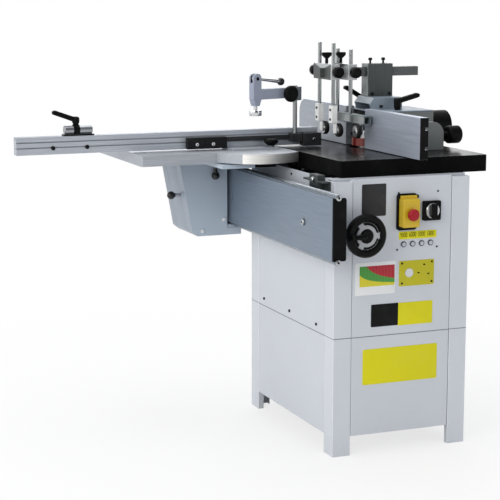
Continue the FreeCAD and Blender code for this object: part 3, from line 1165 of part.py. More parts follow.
node("infeed_plate", fence_plate("infeed_plate", -d.fence_gap_half - d.infeed_length,
                                 -d.fence_gap_half))
outfeed = fence_plate("outfeed_plate", d.fence_gap_half, d.fence_gap_half + d.outfeed_length)
outfeed_end = d.fence_gap_half + d.outfeed_length
plate_high = d.plate_bottom + d.plate_height
soften(outfeed, d.outfeed_round, lambda edge: runs_along(edge, "X") and near(middle(edge).z, plate_high)
       and near(middle(edge).y, outfeed_end))
node("outfeed_plate", outfeed)
node("adjust_knob", turned("adjust_knob", [
    (0, 0), (d.adjust_stem, 0), (d.adjust_stem, d.adjust_gap), (d.adjust_radius - 4, d.adjust_gap),
    (d.adjust_radius, d.adjust_gap + 4), (d.adjust_radius, d.adjust_gap + d.adjust_long - 5),
    (d.adjust_radius - 5, d.adjust_gap + d.adjust_long), (0, d.adjust_gap + d.adjust_long)],
    (d.web_back, adjust_y, d.adjust_height), "X"))
node("clamp_lever_near", clamp_lever("clamp_lever_near", (d.clamp_near_x, d.clamp_near_y, cover_top),
                                     d.clamp_reach, d.clamp_rise, d.clamp_arm, d.clamp_hub_height))
node("clamp_lever_far", clamp_lever("clamp_lever_far", (d.clamp_far_x, d.clamp_far_y, cover_top),
                                    -d.clamp_far_reach, d.clamp_far_rise, d.clamp_arm,
                                    d.clamp_hub_height))

# Presser: a column on the hood holds a square bar with two clamp blocks. Each block
# guides a pair of rods, the outer pair with a fork and roller on each rod, the inner
# pair with one holder between them.
column_right = d.column_left + d.column_wide
column_back = d.column_front + d.column_deep
bar_y0, bar_y1 = d.bar_at - d.bar_deep / 2, d.bar_at + d.bar_deep / 2
bar_top = d.bar_bottom + d.bar_high
column_block = box("column_block", d.column_left, d.column_front, hood_top, column_right, column_back,
                   hood_top + d.column_rise)
soften(column_block, 3, lambda edge: runs_along(edge, "Z"))
bar_way = box("bar_way", d.column_left - 1, bar_y0 - d.bar_clear, d.bar_bottom, column_right + 1,
              bar_y1 + d.bar_clear,
              bar_top + d.bar_clear)
node("presser_column", cut("presser_column", column_block, bar_way))
bar = box("presser_square", d.bar_left, bar_y0, d.bar_bottom, d.bar_right, bar_y1, bar_top)
clamp_top = d.clamp_bottom + d.clamp_high


def rod_block(name, x, y_near, y_far):
    block = box(name + "_block", x - d.clamp_half, y_near - d.clamp_margin, d.clamp_bottom,
                x + d.clamp_half,
                y_far + d.clamp_margin, clamp_top)
    soften(block, 3, lambda edge: runs_along(edge, "Z"))
    bores = [cylinder("%s_bore_%d" % (name, i), d.rod_thick + d.run_clear, d.clamp_high,
                      (x, y, d.clamp_bottom))
             for i, y in enumerate((y_near, y_far), 1)]
    way = box(name + "_way", x - d.clamp_half - 1, bar_y0, d.bar_bottom, x + d.clamp_half + 1, bar_y1,
              bar_top)
    return cut(name, block, way, *bores)


node("presser_bar", group("presser_bar", bar, rod_block("outer_clamp", d.outer_x, d.outer_near,
                                                        d.outer_far),
                          rod_block("inner_clamp", d.inner_x, d.inner_near, d.inner_far)))


def upright(name, x, y, bottom, top):
    chamfer = 1.5
    return turned(name, [(0, bottom), (d.rod_thick, bottom), (d.rod_thick, top - chamfer),
                         (d.rod_thick - chamfer, top), (0, top)], (x, y, 0))


roller_x0 = d.outer_x + d.fork_half + d.roller_gap
outer_parts = []
for name, y in (("near", d.outer_near), ("far", d.outer_far)):
    outer_parts.append(upright("outer_rod_" + name, d.outer_x, y, d.fork_top - d.rod_thick,
                               d.outer_rod_top))
    outer_parts.append(box("fork_" + name, d.outer_x - d.fork_half, y - d.fork_side, d.fork_bottom,
                           d.outer_x + d.fork_half, y + d.fork_side, d.fork_top))
    outer_parts.append(box("cheek_" + name, d.outer_x + d.fork_half - d.cheek_thick, y - d.cheek_half,
                           d.outer_roller_height - d.cheek_half, d.outer_x + d.fork_half,
                           y + d.cheek_half, d.fork_bottom))
    outer_parts.append(cylinder("outer_axle_" + name, d.axle_radius,
                                d.cheek_thick + d.roller_gap * 2 + d.roller_wide,
                                (d.outer_x + d.fork_half - d.cheek_thick, y, d.outer_roller_height),
                                "X"))
node("outer_presser", fuse("outer_presser", *outer_parts))
holder_top = d.holder_bottom + d.holder_high
holder = slab("inner_holder", "Y", d.holder_front, d.holder_back, rectangle(
    d.inner_x - d.holder_half, d.holder_bottom, d.inner_x + d.holder_half, holder_top),
    holes=[rectangle(
        d.inner_x - d.holder_half + d.holder_wall, d.holder_bottom + d.holder_wall,
        d.inner_x + d.holder_half - d.holder_wall, holder_top - d.holder_wall)])
soften(holder, 3,
       lambda edge: runs_along(edge,
                               "Y") and abs(middle(edge).x - d.inner_x.value) > d.holder_half.value - 1)
inner_roller_x0 = d.inner_x - d.holder_half - d.roller_gap - d.roller_wide
inner_cheek = box("inner_cheek", d.inner_x - d.holder_half, d.inner_roller_at - d.cheek_half,
                  d.inner_roller_height - d.cheek_half, d.inner_x - d.holder_half + d.cheek_thick,
                  d.inner_roller_at + d.cheek_half, d.holder_bottom + d.holder_wall)
node("inner_presser", fuse("inner_presser", holder, inner_cheek,
                           upright("inner_rod_near", d.inner_x, d.inner_near,
                                   holder_top - d.holder_wall / 2, d.inner_rod_top),
                           upright("inner_rod_far", d.inner_x, d.inner_far,
                                   holder_top - d.holder_wall / 2, d.inner_rod_top),
                           cylinder("inner_axle", d.axle_radius,
                                    d.roller_wide + d.roller_gap * 2 + d.cheek_thick,
                                    (inner_roller_x0 - d.roller_gap, d.inner_roller_at,
                                     d.inner_roller_height), "X")))


def roller(name, x0, y, z):
    """A rubber tyre with a rounded tread on a hub that stands out a little."""
    r, w, lip = d.roller_radius, d.roller_wide, 3
    return turned(name, [(d.axle_radius + d.run_clear, 0), (d.roller_hub, 0), (d.roller_hub, 1.5),
                         (r - lip, 1.5),
                         (r, 1.5 + lip), (r, w - 1.5 - lip), (r - lip, w - 1.5),
                         (d.roller_hub, w - 1.5),
                         (d.roller_hub, w), (d.axle_radius + d.run_clear, w)], (x0, y, z), "X")


node("roller_near", roller("roller_near", roller_x0, d.outer_near, d.outer_roller_height))
node("roller_far", roller("roller_far", roller_x0, d.outer_far, d.outer_roller_height))
node("roller_inner", roller("roller_inner", inner_roller_x0, d.inner_roller_at, d.inner_roller_height))


def grip(name, at, facing):
    r, start, end = d.grip_radius, d.grip_gap, d.grip_gap + d.grip_long
    return turned(name, [(0, 0), (d.grip_stem, 0), (d.grip_stem, start), (r - 4, start), (r, start + 4),
                         (r, end - 7),
                         (r - 3, end - 2), (r - 8, end), (0, end)], at, facing)


outer_front, outer_back = d.outer_near - d.clamp_margin, d.outer_far + d.clamp_margin
node("grip_outer_near", grip("grip_outer_near", (d.outer_x, outer_front, d.grip_height), "-Y"))
node("grip_outer_far", grip("grip_outer_far", (d.outer_x, outer_back, d.grip_height), "Y"))
node("grip_inner", grip("grip_inner", (d.inner_x, d.inner_near - d.clamp_margin, d.grip_height), "-Y"))


def wing_knob(name, x, y):
    stem = cylinder(name + "_stem", d.wing_stem, d.wing_stem_high, (x, y, clamp_top))
    low = clamp_top + d.wing_stem_high
    wing = slab(name + "_wing", "Y", y - d.wing_thick / 2, y + d.wing_thick / 2, [
        (x - d.wing_stem, low), (x + d.wing_stem, low), (x + d.wing_half, low + d.wing_high / 2),
        (x + d.wing_half, low + d.wing_high), (x - d.wing_half, low + d.wing_high),
        (x - d.wing_half, low + d.wing_high / 2)])
    soften(wing, 3, lambda edge: runs_along(edge, "Y") and middle(edge).z > low.value + 1)
    return fuse(name, stem, wing)


node("wing_knob_outer", wing_knob("wing_knob_outer", d.outer_x, d.bar_at))
node("wing_knob_inner", wing_knob("wing_knob_inner", d.inner_x, d.bar_at))

# Controls: the switch with its hinged flap, stop mushroom and start button, the selector
# and the four speed lamps.
switch_top = d.switch_bottom + d.switch_high
switch_face = front - d.switch_thick
switch_plate = slab("switch_plate", "Y", switch_face, front,
                    rectangle(plate_x0, d.switch_bottom, plate_x1, switch_top))
soften(switch_plate, d.switch_round, lambda edge: runs_along(edge, "Y"))
margin = d.switch_box_margin + d.ring_clear
switch_box = box("switch_box", plate_x0 + margin, front, d.switch_bottom + margin, plate_x1 - margin,
                 front + d.switch_box_deep, switch_top - margin)
flap_x0, flap_x1 = switch_x - d.flap_wide / 2, switch_x + d.flap_wide / 2
flap_mid = (flap_x0 + flap_x1) / 2
flap_top = d.flap_bottom + d.flap_high
flap_front = switch_face - d.flap_deep
start_z = d.flap_bottom + d.flap_high * 0.7
start_bore = cylinder("start_bore", d.start_radius + d.ring_clear, d.switch_thick + d.start_high,
                      (flap_mid, switch_face, start_z), "Y")
hinge_z = flap_top + d.hinge_radius + d.flap_gap
hinge_y = switch_face - d.hinge_radius - d.flap_gap
ears = []
for i, (e0, e1) in enumerate(((flap_x0 - 5, flap_x0 - 1), (flap_x1 + 1, flap_x1 + 5)), 1):
    ears.append(box("hinge_ear_%d" % i, e0, hinge_y - d.hinge_radius - 1, hinge_z - d.hinge_radius - 1,
                    e1, switch_face,
                    hinge_z + d.hinge_radius + 1))
hinge_pin = cylinder("hinge_pin", d.hinge_radius - 1.5, flap_x1 - flap_x0 + 2,
                     (flap_x0 - 1, hinge_y, hinge_z), "X")
switch_base = fuse("switch_base", cut("switch_body", fuse("switch_shell", switch_plate, switch_box),
                                      start_bore),
                   *ears, hinge_pin)
dial_plate = slab("dial_plate", "Y", front - d.dial_thick, front, rectangle(
    dial_x - d.dial_wide / 2, d.dial_bottom, dial_x + d.dial_wide / 2, d.dial_bottom + d.dial_wide))
soften(dial_plate, d.dial_round, lambda edge: runs_along(edge, "Y"))
pocket(dial_plate, "Y", front, bores=[(dial_x, dial_z, d.dial_stem)])
dial_bush = turned("dial_bush", rectangle(
    d.dial_stem - 2 + d.run_clear, 0, d.dial_stem, d.dial_thick + d.dial_stem_deep),
    (dial_x, front - d.dial_thick, dial_z), "Y")
lamp_parts = [turned("lamp_%d" % i, [(0, 0), (d.lamp_body, 0), (d.lamp_body, d.lamp_deep),
                                     (d.lamp_radius, d.lamp_deep),
                                     (d.lamp_radius, d.lamp_deep + d.lamp_thick - 1.5),
                                     (d.lamp_body, d.lamp_deep + d.lamp_thick),
                                     (0, d.lamp_deep + d.lamp_thick)],
                     (x, front + d.lamp_deep, d.lamp_height), "-Y") for i, x in enumerate(lamps, 1)]
node("switch_base", group("switch_base", switch_base, fuse("dial_base", dial_plate, dial_bush),
                          *lamp_parts))

flap_shell = slab("flap_shell", "Y", flap_front, switch_face - d.flap_gap,
                  rectangle(flap_x0, d.flap_bottom, flap_x1, flap_top))
soften(flap_shell, 4, lambda edge: near(middle(edge).y, flap_front) or runs_along(edge, "Y"))
wall = d.flap_wall
flap_room = box("flap_room", flap_x0 + wall, flap_front + wall, d.flap_bottom + wall, flap_x1 - wall,
                switch_face,
                flap_top - wall)
knuckle = cylinder("flap_knuckle", d.hinge_radius, flap_x1 - flap_x0, (flap_x0, hinge_y, hinge_z), "X")
knuckle_web = box("knuckle_web", flap_x0, hinge_y - d.hinge_radius, flap_top - wall, flap_x1,
                  hinge_y + d.hinge_radius, hinge_z)
knuckle_bore = cylinder("knuckle_bore", d.hinge_radius - 1.5 + d.run_clear, flap_x1 - flap_x0 + 2,
                        (flap_x0 - 1, hinge_y, hinge_z), "X")
mushroom_z = d.flap_bottom + d.mushroom_up
stem_bore = cylinder("mushroom_bore", d.mushroom_stem + d.run_clear, d.flap_deep,
                     (flap_mid, flap_front, mushroom_z), "Y")
flap_body = cut("flap_hollow", fuse("flap_outer", flap_shell, knuckle, knuckle_web), flap_room,
                knuckle_bore, stem_bore)
node("switch_flap", flap_body)
node("stop_button", turned("stop_button", [
    (0, 0), (d.mushroom_stem, 0), (d.mushroom_stem, wall * 3 + d.mushroom_gap),
    (d.mushroom_radius, wall * 3 + d.mushroom_gap), (d.mushroom_radius,
                                                     wall * 3 + d.mushroom_gap + d.mushroom_thick * 0.5),
    (d.mushroom_radius * 0.75, wall * 3 + d.mushroom_gap + d.mushroom_thick * 0.9),
    (0, wall * 3 + d.mushroom_gap + d.mushroom_thick)], (flap_mid, flap_front + wall * 3, mushroom_z),
    "-Y"))
node("start_button", turned("start_button", [
    (0, 0), (d.start_radius, 0), (d.start_radius, d.start_high + d.switch_thick - 1),
    (d.start_radius - 1.5, d.start_high + d.switch_thick),
    (0, d.start_high + d.switch_thick)], (flap_mid, front + d.switch_thick / 2, start_z), "-Y"))
dial_disc = turned("dial_disc_turned", [
    (0, -d.dial_stem_deep), (d.dial_stem - 2, -d.dial_stem_deep), (d.dial_stem - 2, 0),
    (d.dial_disc, 0), (d.dial_disc, 4),
    (d.dial_disc - 2, 6), (0, 6)], (dial_x, front - d.dial_thick, dial_z), "-Y")
dial_bar = slab("dial_bar", "Y", front - d.dial_thick - d.dial_bar_high, front - d.dial_thick - 3,
                rectangle(
    dial_x - d.dial_bar_half, dial_z - d.dial_bar_long, dial_x + d.dial_bar_half,
    dial_z + d.dial_bar_long))
soften(dial_bar, 4, lambda edge: runs_along(edge, "Y"))
node("selector_knob", fuse("selector_knob", dial_disc, dial_bar))

doc.recompute()
failed = [thing.Name for thing in doc.Objects if "Invalid" in thing.State or "Error" in thing.State]
if failed:
    raise RuntimeError("these features did not build: " + ", ".join(failed))
for label, thing in NODES.items():
    if thing.Shape.isNull() or not thing.Shape.isValid() or not thing.Shape.Solids:
        raise RuntimeError("this sub-part has no sound solid: " + label)

os.makedirs("parts", exist_ok=True)
for label, thing in NODES.items():
    thing.Shape.exportStep("parts/%s.step" % label)
whole = Part.makeCompound([thing.Shape for thing in NODES.values()])
limits = whole.BoundBox
print("%d sub-parts, X %.1f to %.1f, Y %.1f to %.1f, Z %.1f to %.1f" % (
    len(NODES), limits.XMin, limits.XMax, limits.YMin, limits.YMax, limits.ZMin, limits.ZMax))
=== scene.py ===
import json
import math

import bmesh
import bpy
from mathutils import Matrix, Vector

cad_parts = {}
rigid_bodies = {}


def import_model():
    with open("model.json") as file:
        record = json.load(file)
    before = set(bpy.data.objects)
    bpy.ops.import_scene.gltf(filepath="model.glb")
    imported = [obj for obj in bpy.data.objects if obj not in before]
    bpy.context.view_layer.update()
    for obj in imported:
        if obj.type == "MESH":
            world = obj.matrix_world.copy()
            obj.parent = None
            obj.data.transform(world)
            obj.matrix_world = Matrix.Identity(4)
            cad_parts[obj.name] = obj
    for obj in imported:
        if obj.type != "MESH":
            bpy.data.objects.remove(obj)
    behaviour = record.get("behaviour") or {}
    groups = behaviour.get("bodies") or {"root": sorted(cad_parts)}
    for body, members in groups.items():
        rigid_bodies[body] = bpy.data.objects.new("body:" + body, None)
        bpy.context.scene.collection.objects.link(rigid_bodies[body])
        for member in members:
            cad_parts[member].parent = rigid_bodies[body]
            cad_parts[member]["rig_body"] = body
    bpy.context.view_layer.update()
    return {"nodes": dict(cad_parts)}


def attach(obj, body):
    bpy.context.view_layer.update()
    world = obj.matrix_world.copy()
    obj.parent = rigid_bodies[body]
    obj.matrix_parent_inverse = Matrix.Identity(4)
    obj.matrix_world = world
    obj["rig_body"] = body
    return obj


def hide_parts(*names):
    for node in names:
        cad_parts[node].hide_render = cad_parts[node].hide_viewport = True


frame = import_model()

# Studio: a pale floor under soft lamps. The floor and the sky are white to the camera and to
# bright metal, apart from the dark room to the right of the camera, and the shadow stays.


class Wire:
    """One output of a material's nodes. Sums and products of wires become Math nodes."""

    def __init__(self, tree, socket=None):
        self.tree = tree
        self.socket = socket

    def node(self, kind, settings=(), sockets=(), output=0):
        """Adds any node: its settings first, then the values or wires of its sockets."""
        made = self.tree.nodes.new("ShaderNode" + kind)
        for name, value in dict(settings).items():
            setattr(made, name, value)
        for name, value in dict(sockets).items():
            if isinstance(value, Wire):
                self.tree.links.new(value.socket, made.inputs[name])
            else:
                made.inputs[name].default_value = value
        return Wire(self.tree, made.outputs[output]) if len(made.outputs) else None

    def math(self, operation, first, second):
        return self.node("Math", {"operation": operation}, {0: first, 1: second})

    def __add__(self, other):
        return self.math("ADD", self, other)

    def __radd__(self, other):
        return self.math("ADD", other, self)

    def __sub__(self, other):
        return self.math("SUBTRACT", self, other)

    def __rsub__(self, other):
        return self.math("SUBTRACT", other, self)

    def __mul__(self, other):
        return self.math("MULTIPLY", self, other)

    def __rmul__(self, other):
        return self.math("MULTIPLY", other, self)

    def limit(self, low, high):
        """Goes from 0 to 1 while this wire goes from low to high, and stops there."""
        return self.node("MapRange", {}, {"Value": self, "From Min": low, "From Max": high})

    def tint(self, first, second):
        """The first colour where this wire is 0, the second where it is 1."""
        sockets = {0: self}
        for index, colour in ((6, first), (7, second)):
            sockets[index] = colour if isinstance(colour, Wire) else (*colour, 1)
        return self.node("Mix", {"data_type": "RGBA"}, sockets, output=2)


def new_finish(name):
    """An empty material, and the wire that adds nodes to it."""
    made = bpy.data.materials.new(name)
    made.use_nodes = True
    made.node_tree.nodes.clear()
    return made, Wire(made.node_tree)


def ray_kinds(wire):
    """A wire that is 1 for camera rays, mirrored rays and rays through glass, and one that is 1
    for mirrored rays alone."""
    path = wire.node("LightPath").socket.node
    to_camera, to_metal, to_glass = [
        Wire(wire.tree, path.outputs[name])
        for name in ("Is Camera Ray", "Is Glossy Ray", "Is Transmission Ray")]
    return (to_camera + to_metal + to_glass).limit(0, 1), to_metal


def placed(name, data):
    """Adds an object that holds this mesh, curve, lamp or camera."""
    made = bpy.data.objects.new(name, data)
    bpy.context.scene.collection.objects.link(made)
    return made


white = (1, 1, 1)
dark_room = (0.05, 0.053, 0.06)
room_axis = (0.62, -0.72, -0.30)
sky_tint, sky_strength = (0.96, 0.98, 1, 1), 0.42
world = bpy.data.worlds.new("studio_sky")
bpy.context.scene.world = world
world.use_nodes = True
world.node_tree.nodes.clear()
sky = Wire(world.node_tree)
seen, to_metal = ray_kinds(sky)
ray = sky.node("NewGeometry", output="Incoming")
leftward = sky.node("VectorMath", {"operation": "DOT_PRODUCT"}, {0: ray, 1: room_axis}, output="Value")
room = leftward.limit(-0.7, 0.7).tint(dark_room, white)
shown = sky.node("Background", {}, {"Color": to_metal.tint(white, room), "Strength": 1.0})
lit = sky.node("Background", {}, {"Color": sky_tint, "Strength": sky_strength})
sky.node("OutputWorld", {}, {"Surface": sky.node("MixShader", {}, {0: seen, 1: lit, 2: shown})})

floor_half = 30
floor_grey = (0.9, 0.9, 0.9, 1)
glow_near = 0.74
shadow_near, shadow_far = 0.7, 2.0
floor_finish, wire = new_finish("studio_floor")
matt = wire.node("BsdfDiffuse", {}, {"Color": floor_grey})
glow = wire.node("Emission", {}, {"Color": (*white, 1), "Strength": 1.0})
away = wire.node("VectorMath", {"operation": "LENGTH"},
                 {0: wire.node("TexCoord", output="Object")}, output="Value")
seen = ray_kinds(wire)[0]
whiteness = seen * (glow_near + (1 - glow_near) * away.limit(shadow_near, shadow_far))
wire.node("OutputMaterial", {}, {"Surface": wire.node("MixShader", {}, {0: whiteness, 1: matt, 2: glow})})
floor_corners = [(x * floor_half, y * floor_half, 0) for x, y in ((-1, -1), (1, -1), (1, 1), (-1, 1))]
floor_mesh = bpy.data.meshes.new("studio_floor")
floor_mesh.from_pydata(floor_corners, [], [(0, 1, 2, 3)])
floor_mesh.materials.append(floor_finish)
floor = placed("studio_floor", floor_mesh)

for name, spot, aim, size, power, colour in (
        ("key_lamp", (-3.8, -3.0, 2.7), (0.1, -0.1, 0.6), 2.6, 118, (1.0, 0.985, 0.96)),
        ("side_lamp", (-4.6, 0.7, 1.8), (0.1, 0, 0.6), 2.0, 34, (1.0, 0.99, 0.97)),
        ("fill_lamp", (3.2, -3.8, 1.7), (0.3, -0.2, 0.6), 2.4, 26, (0.95, 0.97, 1.0)),
        ("top_lamp", (0.2, 0.6, 4.0), (0.1, 0, 0.8), 3.0, 60, (1.0, 1.0, 1.0)),
        ("back_lamp", (1.6, 3.6, 2.6), (0.2, 0, 0.7), 2.4, 40, (0.97, 0.98, 1.0))):
    data = bpy.data.lights.new(name, "AREA")
    data.size = size
    data.energy = power
    data.color = colour
    lamp = placed(name, data)
    lamp.location = spot
    lamp.rotation_euler = (Vector(aim) - Vector(spot)).to_track_quat("-Z", "Y").to_euler()

turn, tilt = math.radians(21.94), math.radians(9.76)
camera_spot = (-1.7077, -4.2803, 1.3519)
sensor_mm, focal_pixels, picture_pixels = 36, 1537.5, 500
forward = Vector((math.sin(turn) * math.cos(tilt), math.cos(turn) * math.cos(tilt), -math.sin(tilt)))
aside = Vector((math.cos(turn), -math.sin(turn), 0))
upward = aside.cross(forward)
camera_data = bpy.data.cameras.new("view_camera")
camera_data.sensor_width = sensor_mm
camera_data.lens = sensor_mm * focal_pixels / picture_pixels
camera = placed("view_camera", camera_data)
camera_turn = Matrix((aside, upward, -forward)).transposed().to_4x4()
camera.matrix_world = Matrix.Translation(camera_spot) @ camera_turn
bpy.context.scene.camera = camera
bpy.context.scene.view_settings.view_transform = "Standard"

# Cabinet: corner posts and trays of folded steel sheet, screwed together and powder coated in
# a light grey. The coat has a fine orange peel, and dust and scuffs gather low on the stand.


def grain(wire, scale, detail=3.0, stretch=(1, 1, 1)):
    """Noise on the piece's own coordinates, drawn out along an axis where stretch is small."""
    spot = wire.node("TexCoord", output="Object")
    drawn = wire.node("Mapping", {}, {"Vector": spot, "Scale": stretch})
    return wire.node("TexNoise", {}, {"Vector": drawn, "Scale": scale, "Detail": detail})


def place_along(wire, axis):
    """How far along an axis each point of the piece lies."""
    spot = wire.node("TexCoord", output="Object")
    return wire.node("SeparateXYZ", {}, {"Vector": spot}, output=axis)


def close_finish(wire, made, colour, roughness, relief, depth, more=()):
    """Ends a finish: its colour and roughness, and its relief as a bump of that depth."""
    bump = wire.node("Bump", {}, {"Strength": 1.0, "Distance": depth, "Height": relief})
    sockets = {"Base Color": colour, "Roughness": roughness, "Normal": bump}
    sockets.update(dict(more))
    wire.node("OutputMaterial", {}, {"Surface": wire.node("BsdfPrincipled", {}, sockets)})
    return made


def powder_coat(name, colour, peel=0.00010, gloss=0.36):
    """Sprayed and baked paint, slightly clouded, scuffed and dusty near the floor."""
    made, wire = new_finish(name)
    cloud = grain(wire, scale=5.0, detail=4.0)
    scuff = grain(wire, scale=38.0, detail=6.0).limit(0.60, 0.78)
    dust = 1 - place_along(wire, "Z").limit(0.0, 0.12)
    pale = tuple(min(1, c * 1.035) for c in colour)
    worn = tuple(c * 0.86 for c in colour)
    shade = cloud.limit(0.3, 0.7).tint(colour, pale)
    shade = (scuff * (0.10 + 0.5 * dust)).tint(shade, worn)
    rough = gloss + 0.10 * cloud + 0.2 * scuff * dust
    return close_finish(wire, made, shade, rough, grain(wire, scale=620.0, detail=2.0), peel)


def finished(name, maker, body, finishes, tests=(), node=None, angle=30):
    """Bakes a maker object to a plain smooth-shaded mesh that rides on a body."""
    bpy.context.view_layer.update()
    shaped = maker.evaluated_get(bpy.context.evaluated_depsgraph_get())
    mesh = bpy.data.meshes.new_from_object(shaped)
    bpy.data.objects.remove(maker)
    mesh.name = name
    if finishes:
        mesh.materials.clear()
        for finish in finishes:
            mesh.materials.append(finish)
    for face in mesh.polygons:
        for index, test in enumerate(tests, 1):
            if test(face.center, face.normal):
                face.material_index = index
                break
    if not node:
        mesh.shade_smooth()
        mesh.set_sharp_from_angle(angle=math.radians(angle))
    piece = placed(name, mesh)
    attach(piece, body)
    if node:
        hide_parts(node)
    return piece


def eased(node, finish, others=(), edge=0.0010, steps=2, angle=30):
    """Stands for a CAD piece: its triangles joined, its sharp edges rounded a little, and
    each face given the first of the other finishes whose test it meets."""
    weld, flat = 2e-6, math.radians(0.6)
    source = frame["nodes"][node]
    mesh = source.data.copy()
    mesh.materials.clear()
    shape = bmesh.new()
    shape.from_mesh(mesh)
    bmesh.ops.remove_doubles(shape, verts=shape.verts, dist=weld)
    bmesh.ops.dissolve_limit(shape, angle_limit=flat, verts=shape.verts, edges=shape.edges)
    shape.to_mesh(mesh)
    shape.free()
    mesh.shade_smooth()
    mesh.set_sharp_from_angle(angle=math.radians(angle))
    rough_piece = placed(node + "_rough", mesh)
    ease = rough_piece.modifiers.new("ease", "BEVEL")
    ease.width = edge
    ease.segments = steps
    ease.limit_method = "ANGLE"
    ease.angle_limit = math.radians(angle)
    ease.use_clamp_overlap = True
    rough_piece.modifiers.new("flat_faces", "WEIGHTED_NORMAL").keep_sharp = True
    finishes = [finish] + [other for other, test in others]
    tests = [test for other, test in others]
    return finished(node + "_finished", rough_piece, source["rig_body"], finishes, tests, node, angle)


seam_low = 0.3495
post_coat = powder_coat("post_coat", (0.60, 0.63, 0.68))
# A paler copy of the post coat is a painted highlight: it goes on the rounded bends of the posts, where the
# light catches them.
fold_highlight_coat = powder_coat("fold_highlight_coat", (0.86, 0.88, 0.91), gloss=0.26)
# A dark grey coat on the upright faces of the stand panels above the seam height is painted shade in the
# seams between the panels.
seam_shade_coat = powder_coat("seam_shade_coat", (0.13, 0.14, 0.16))
panel_coat = powder_coat("panel_coat", (0.57, 0.60, 0.65))
eased("corner_posts", post_coat, [(fold_highlight_coat, lambda c, n: 0.25 < abs(n.x) < 0.97)], edge=0.0040, steps=4)
eased("stand_panels", panel_coat, [(seam_shade_coat, lambda c, n: c.z > seam_low and abs(n.z) < 0.5)],
      edge=0.0006)
eased("cabinet_panels", panel_coat, edge=0.0006)
eased("control_panel", panel_coat, edge=0.0006)


def moulded(name, colour, gloss=0.42, depth=0.00006, sheen=0.03, shine=0.5):
    """Moulded plastic or enamel: a fine grain, faint rubbed patches, slightly paler wear."""
    made, wire = new_finish(name)
    rubbed = grain(wire, scale=22.0, detail=5.0).limit(0.52, 0.75)
    pale = tuple(c + (1 - c) * sheen for c in colour)
    shade = (rubbed * 0.6).tint(colour, pale)
    rough = gloss + 0.16 * grain(wire, scale=60.0) - 0.08 * rubbed
    relief = grain(wire, scale=900.0, detail=2.0)
    return close_finish(wire, made, shade, rough, relief, depth, {"Specular IOR Level": shine})


black_moulding = moulded("black_moulding", (0.0024, 0.0024, 0.0027), sheen=0.008, shine=0.10)
black_steel = moulded("black_steel", (0.004, 0.0042, 0.0046), gloss=0.34, depth=0.00003, sheen=0.01,
                      shine=0.16)


def screws(name, facing, spots, radius, height, finish, hole_shade=black_moulding, body="frame"):
    """Cap screws on points, all facing one way: a rounded head, its key hole a thin disc on top in a painted
    shade, black unless another finish is given.
    """
    tree = bpy.data.node_groups.new(name, "GeometryNodeTree")
    wanted = {"Head Radius": radius, "Head Height": height}
    tree.interface.new_socket("Geometry", in_out="INPUT", socket_type="NodeSocketGeometry")
    sockets = {key: tree.interface.new_socket(key, in_out="INPUT", socket_type="NodeSocketFloat")
               for key in wanted}
    tree.interface.new_socket("Geometry", in_out="OUTPUT", socket_type="NodeSocketGeometry")
    start, end = tree.nodes.new("NodeGroupInput"), tree.nodes.new("NodeGroupOutput")

    def add(kind, **links):
        made = tree.nodes.new(kind)
        for key, value in links.items():
            socket = made.inputs[key.replace("_", " ")]
            if hasattr(value, "is_output"):
                tree.links.new(value, socket)
            else:
                socket.default_value = value
        return made.outputs[0]

    def times(value, factor):
        made = tree.nodes.new("ShaderNodeMath")
        made.operation = "MULTIPLY"
        tree.links.new(value, made.inputs[0])
        made.inputs[1].default_value = factor
        return made.outputs[0]

    wide, tall = start.outputs["Head Radius"], start.outputs["Head Height"]
    shank = add("GeometryNodeMeshCylinder", Vertices=20, Radius=wide, Depth=tall)
    crown = add("GeometryNodeMeshCone", Vertices=20, Radius_Top=times(wide, 0.72), Radius_Bottom=wide,
                Depth=times(tall, 0.35))
    # The key hole is not cut. A thin disc on the head, in painted shade, stands for it.
    key_hole = add("GeometryNodeMeshCylinder", Vertices=6, Radius=times(wide, 0.46), Depth=times(tall, 0.1))
    head = tree.nodes.new("GeometryNodeJoinGeometry")
    for shape, share, paint in ((shank, 0.33, finish), (crown, 0.83, finish), (key_hole, 1.14, hole_shade)):
        lift = add("ShaderNodeCombineXYZ", Z=times(tall, share))
        lifted = add("GeometryNodeTransform", Geometry=shape, Translation=lift)
        painted = add("GeometryNodeSetMaterial", Geometry=lifted, Material=paint)
        tree.links.new(painted, head.inputs[0])
    upright = tree.nodes.new("FunctionNodeAlignRotationToVector")
    upright.axis = "Z"
    upright.inputs["Vector"].default_value = facing
    heads = add("GeometryNodeInstanceOnPoints", Points=start.outputs["Geometry"], Instance=head.outputs[0],
                Rotation=upright.outputs[0])
    tree.links.new(add("GeometryNodeRealizeInstances", Geometry=heads), end.inputs[0])
    points = bpy.data.meshes.new(name)
    points.from_pydata(spots, [], [])
    maker = placed(name, points)
    modifier = maker.modifiers.new("screws", "NODES")
    modifier.node_group = tree
    for key, socket in sockets.items():
        modifier[socket.identifier] = wanted[key]
    return finished(name, maker, body, [], angle=40)


def corners(node):
    """The lowest and the highest corner of a CAD piece."""
    box = frame["nodes"][node].bound_box
    return Vector(box[0]), Vector(box[6])


panel_left, panel_front = corners("corner_posts")[0].xy
to_left, to_front = (-1, 0, 0), (0, -1, 0)
screws("side_panel_screws", to_left,
       [(panel_left, y, z) for y, z in ((0.135, 0.374), (-0.066, 0.374), (-0.264, 0.373))],
       radius=0.0045, height=0.003, finish=black_steel)
screws("control_screws", to_front,
       [(panel_left + x, panel_front, z)
        for x, z in ((0.2026, 0.765), (0.3307, 0.765), (0.2008, 0.600), (0.3303, 0.602))],
       radius=0.0028, height=0.0016, finish=black_steel)
screws("side_hole_screw", to_left, [(panel_left, -0.077, 0.796)], radius=0.004, height=0.002,
       finish=black_steel)

# Plates on the front: thin printed or stamped sheets, glued or screwed to the panels. They
# are bare but for a speed strip with plain numbers and a coloured speed chart.


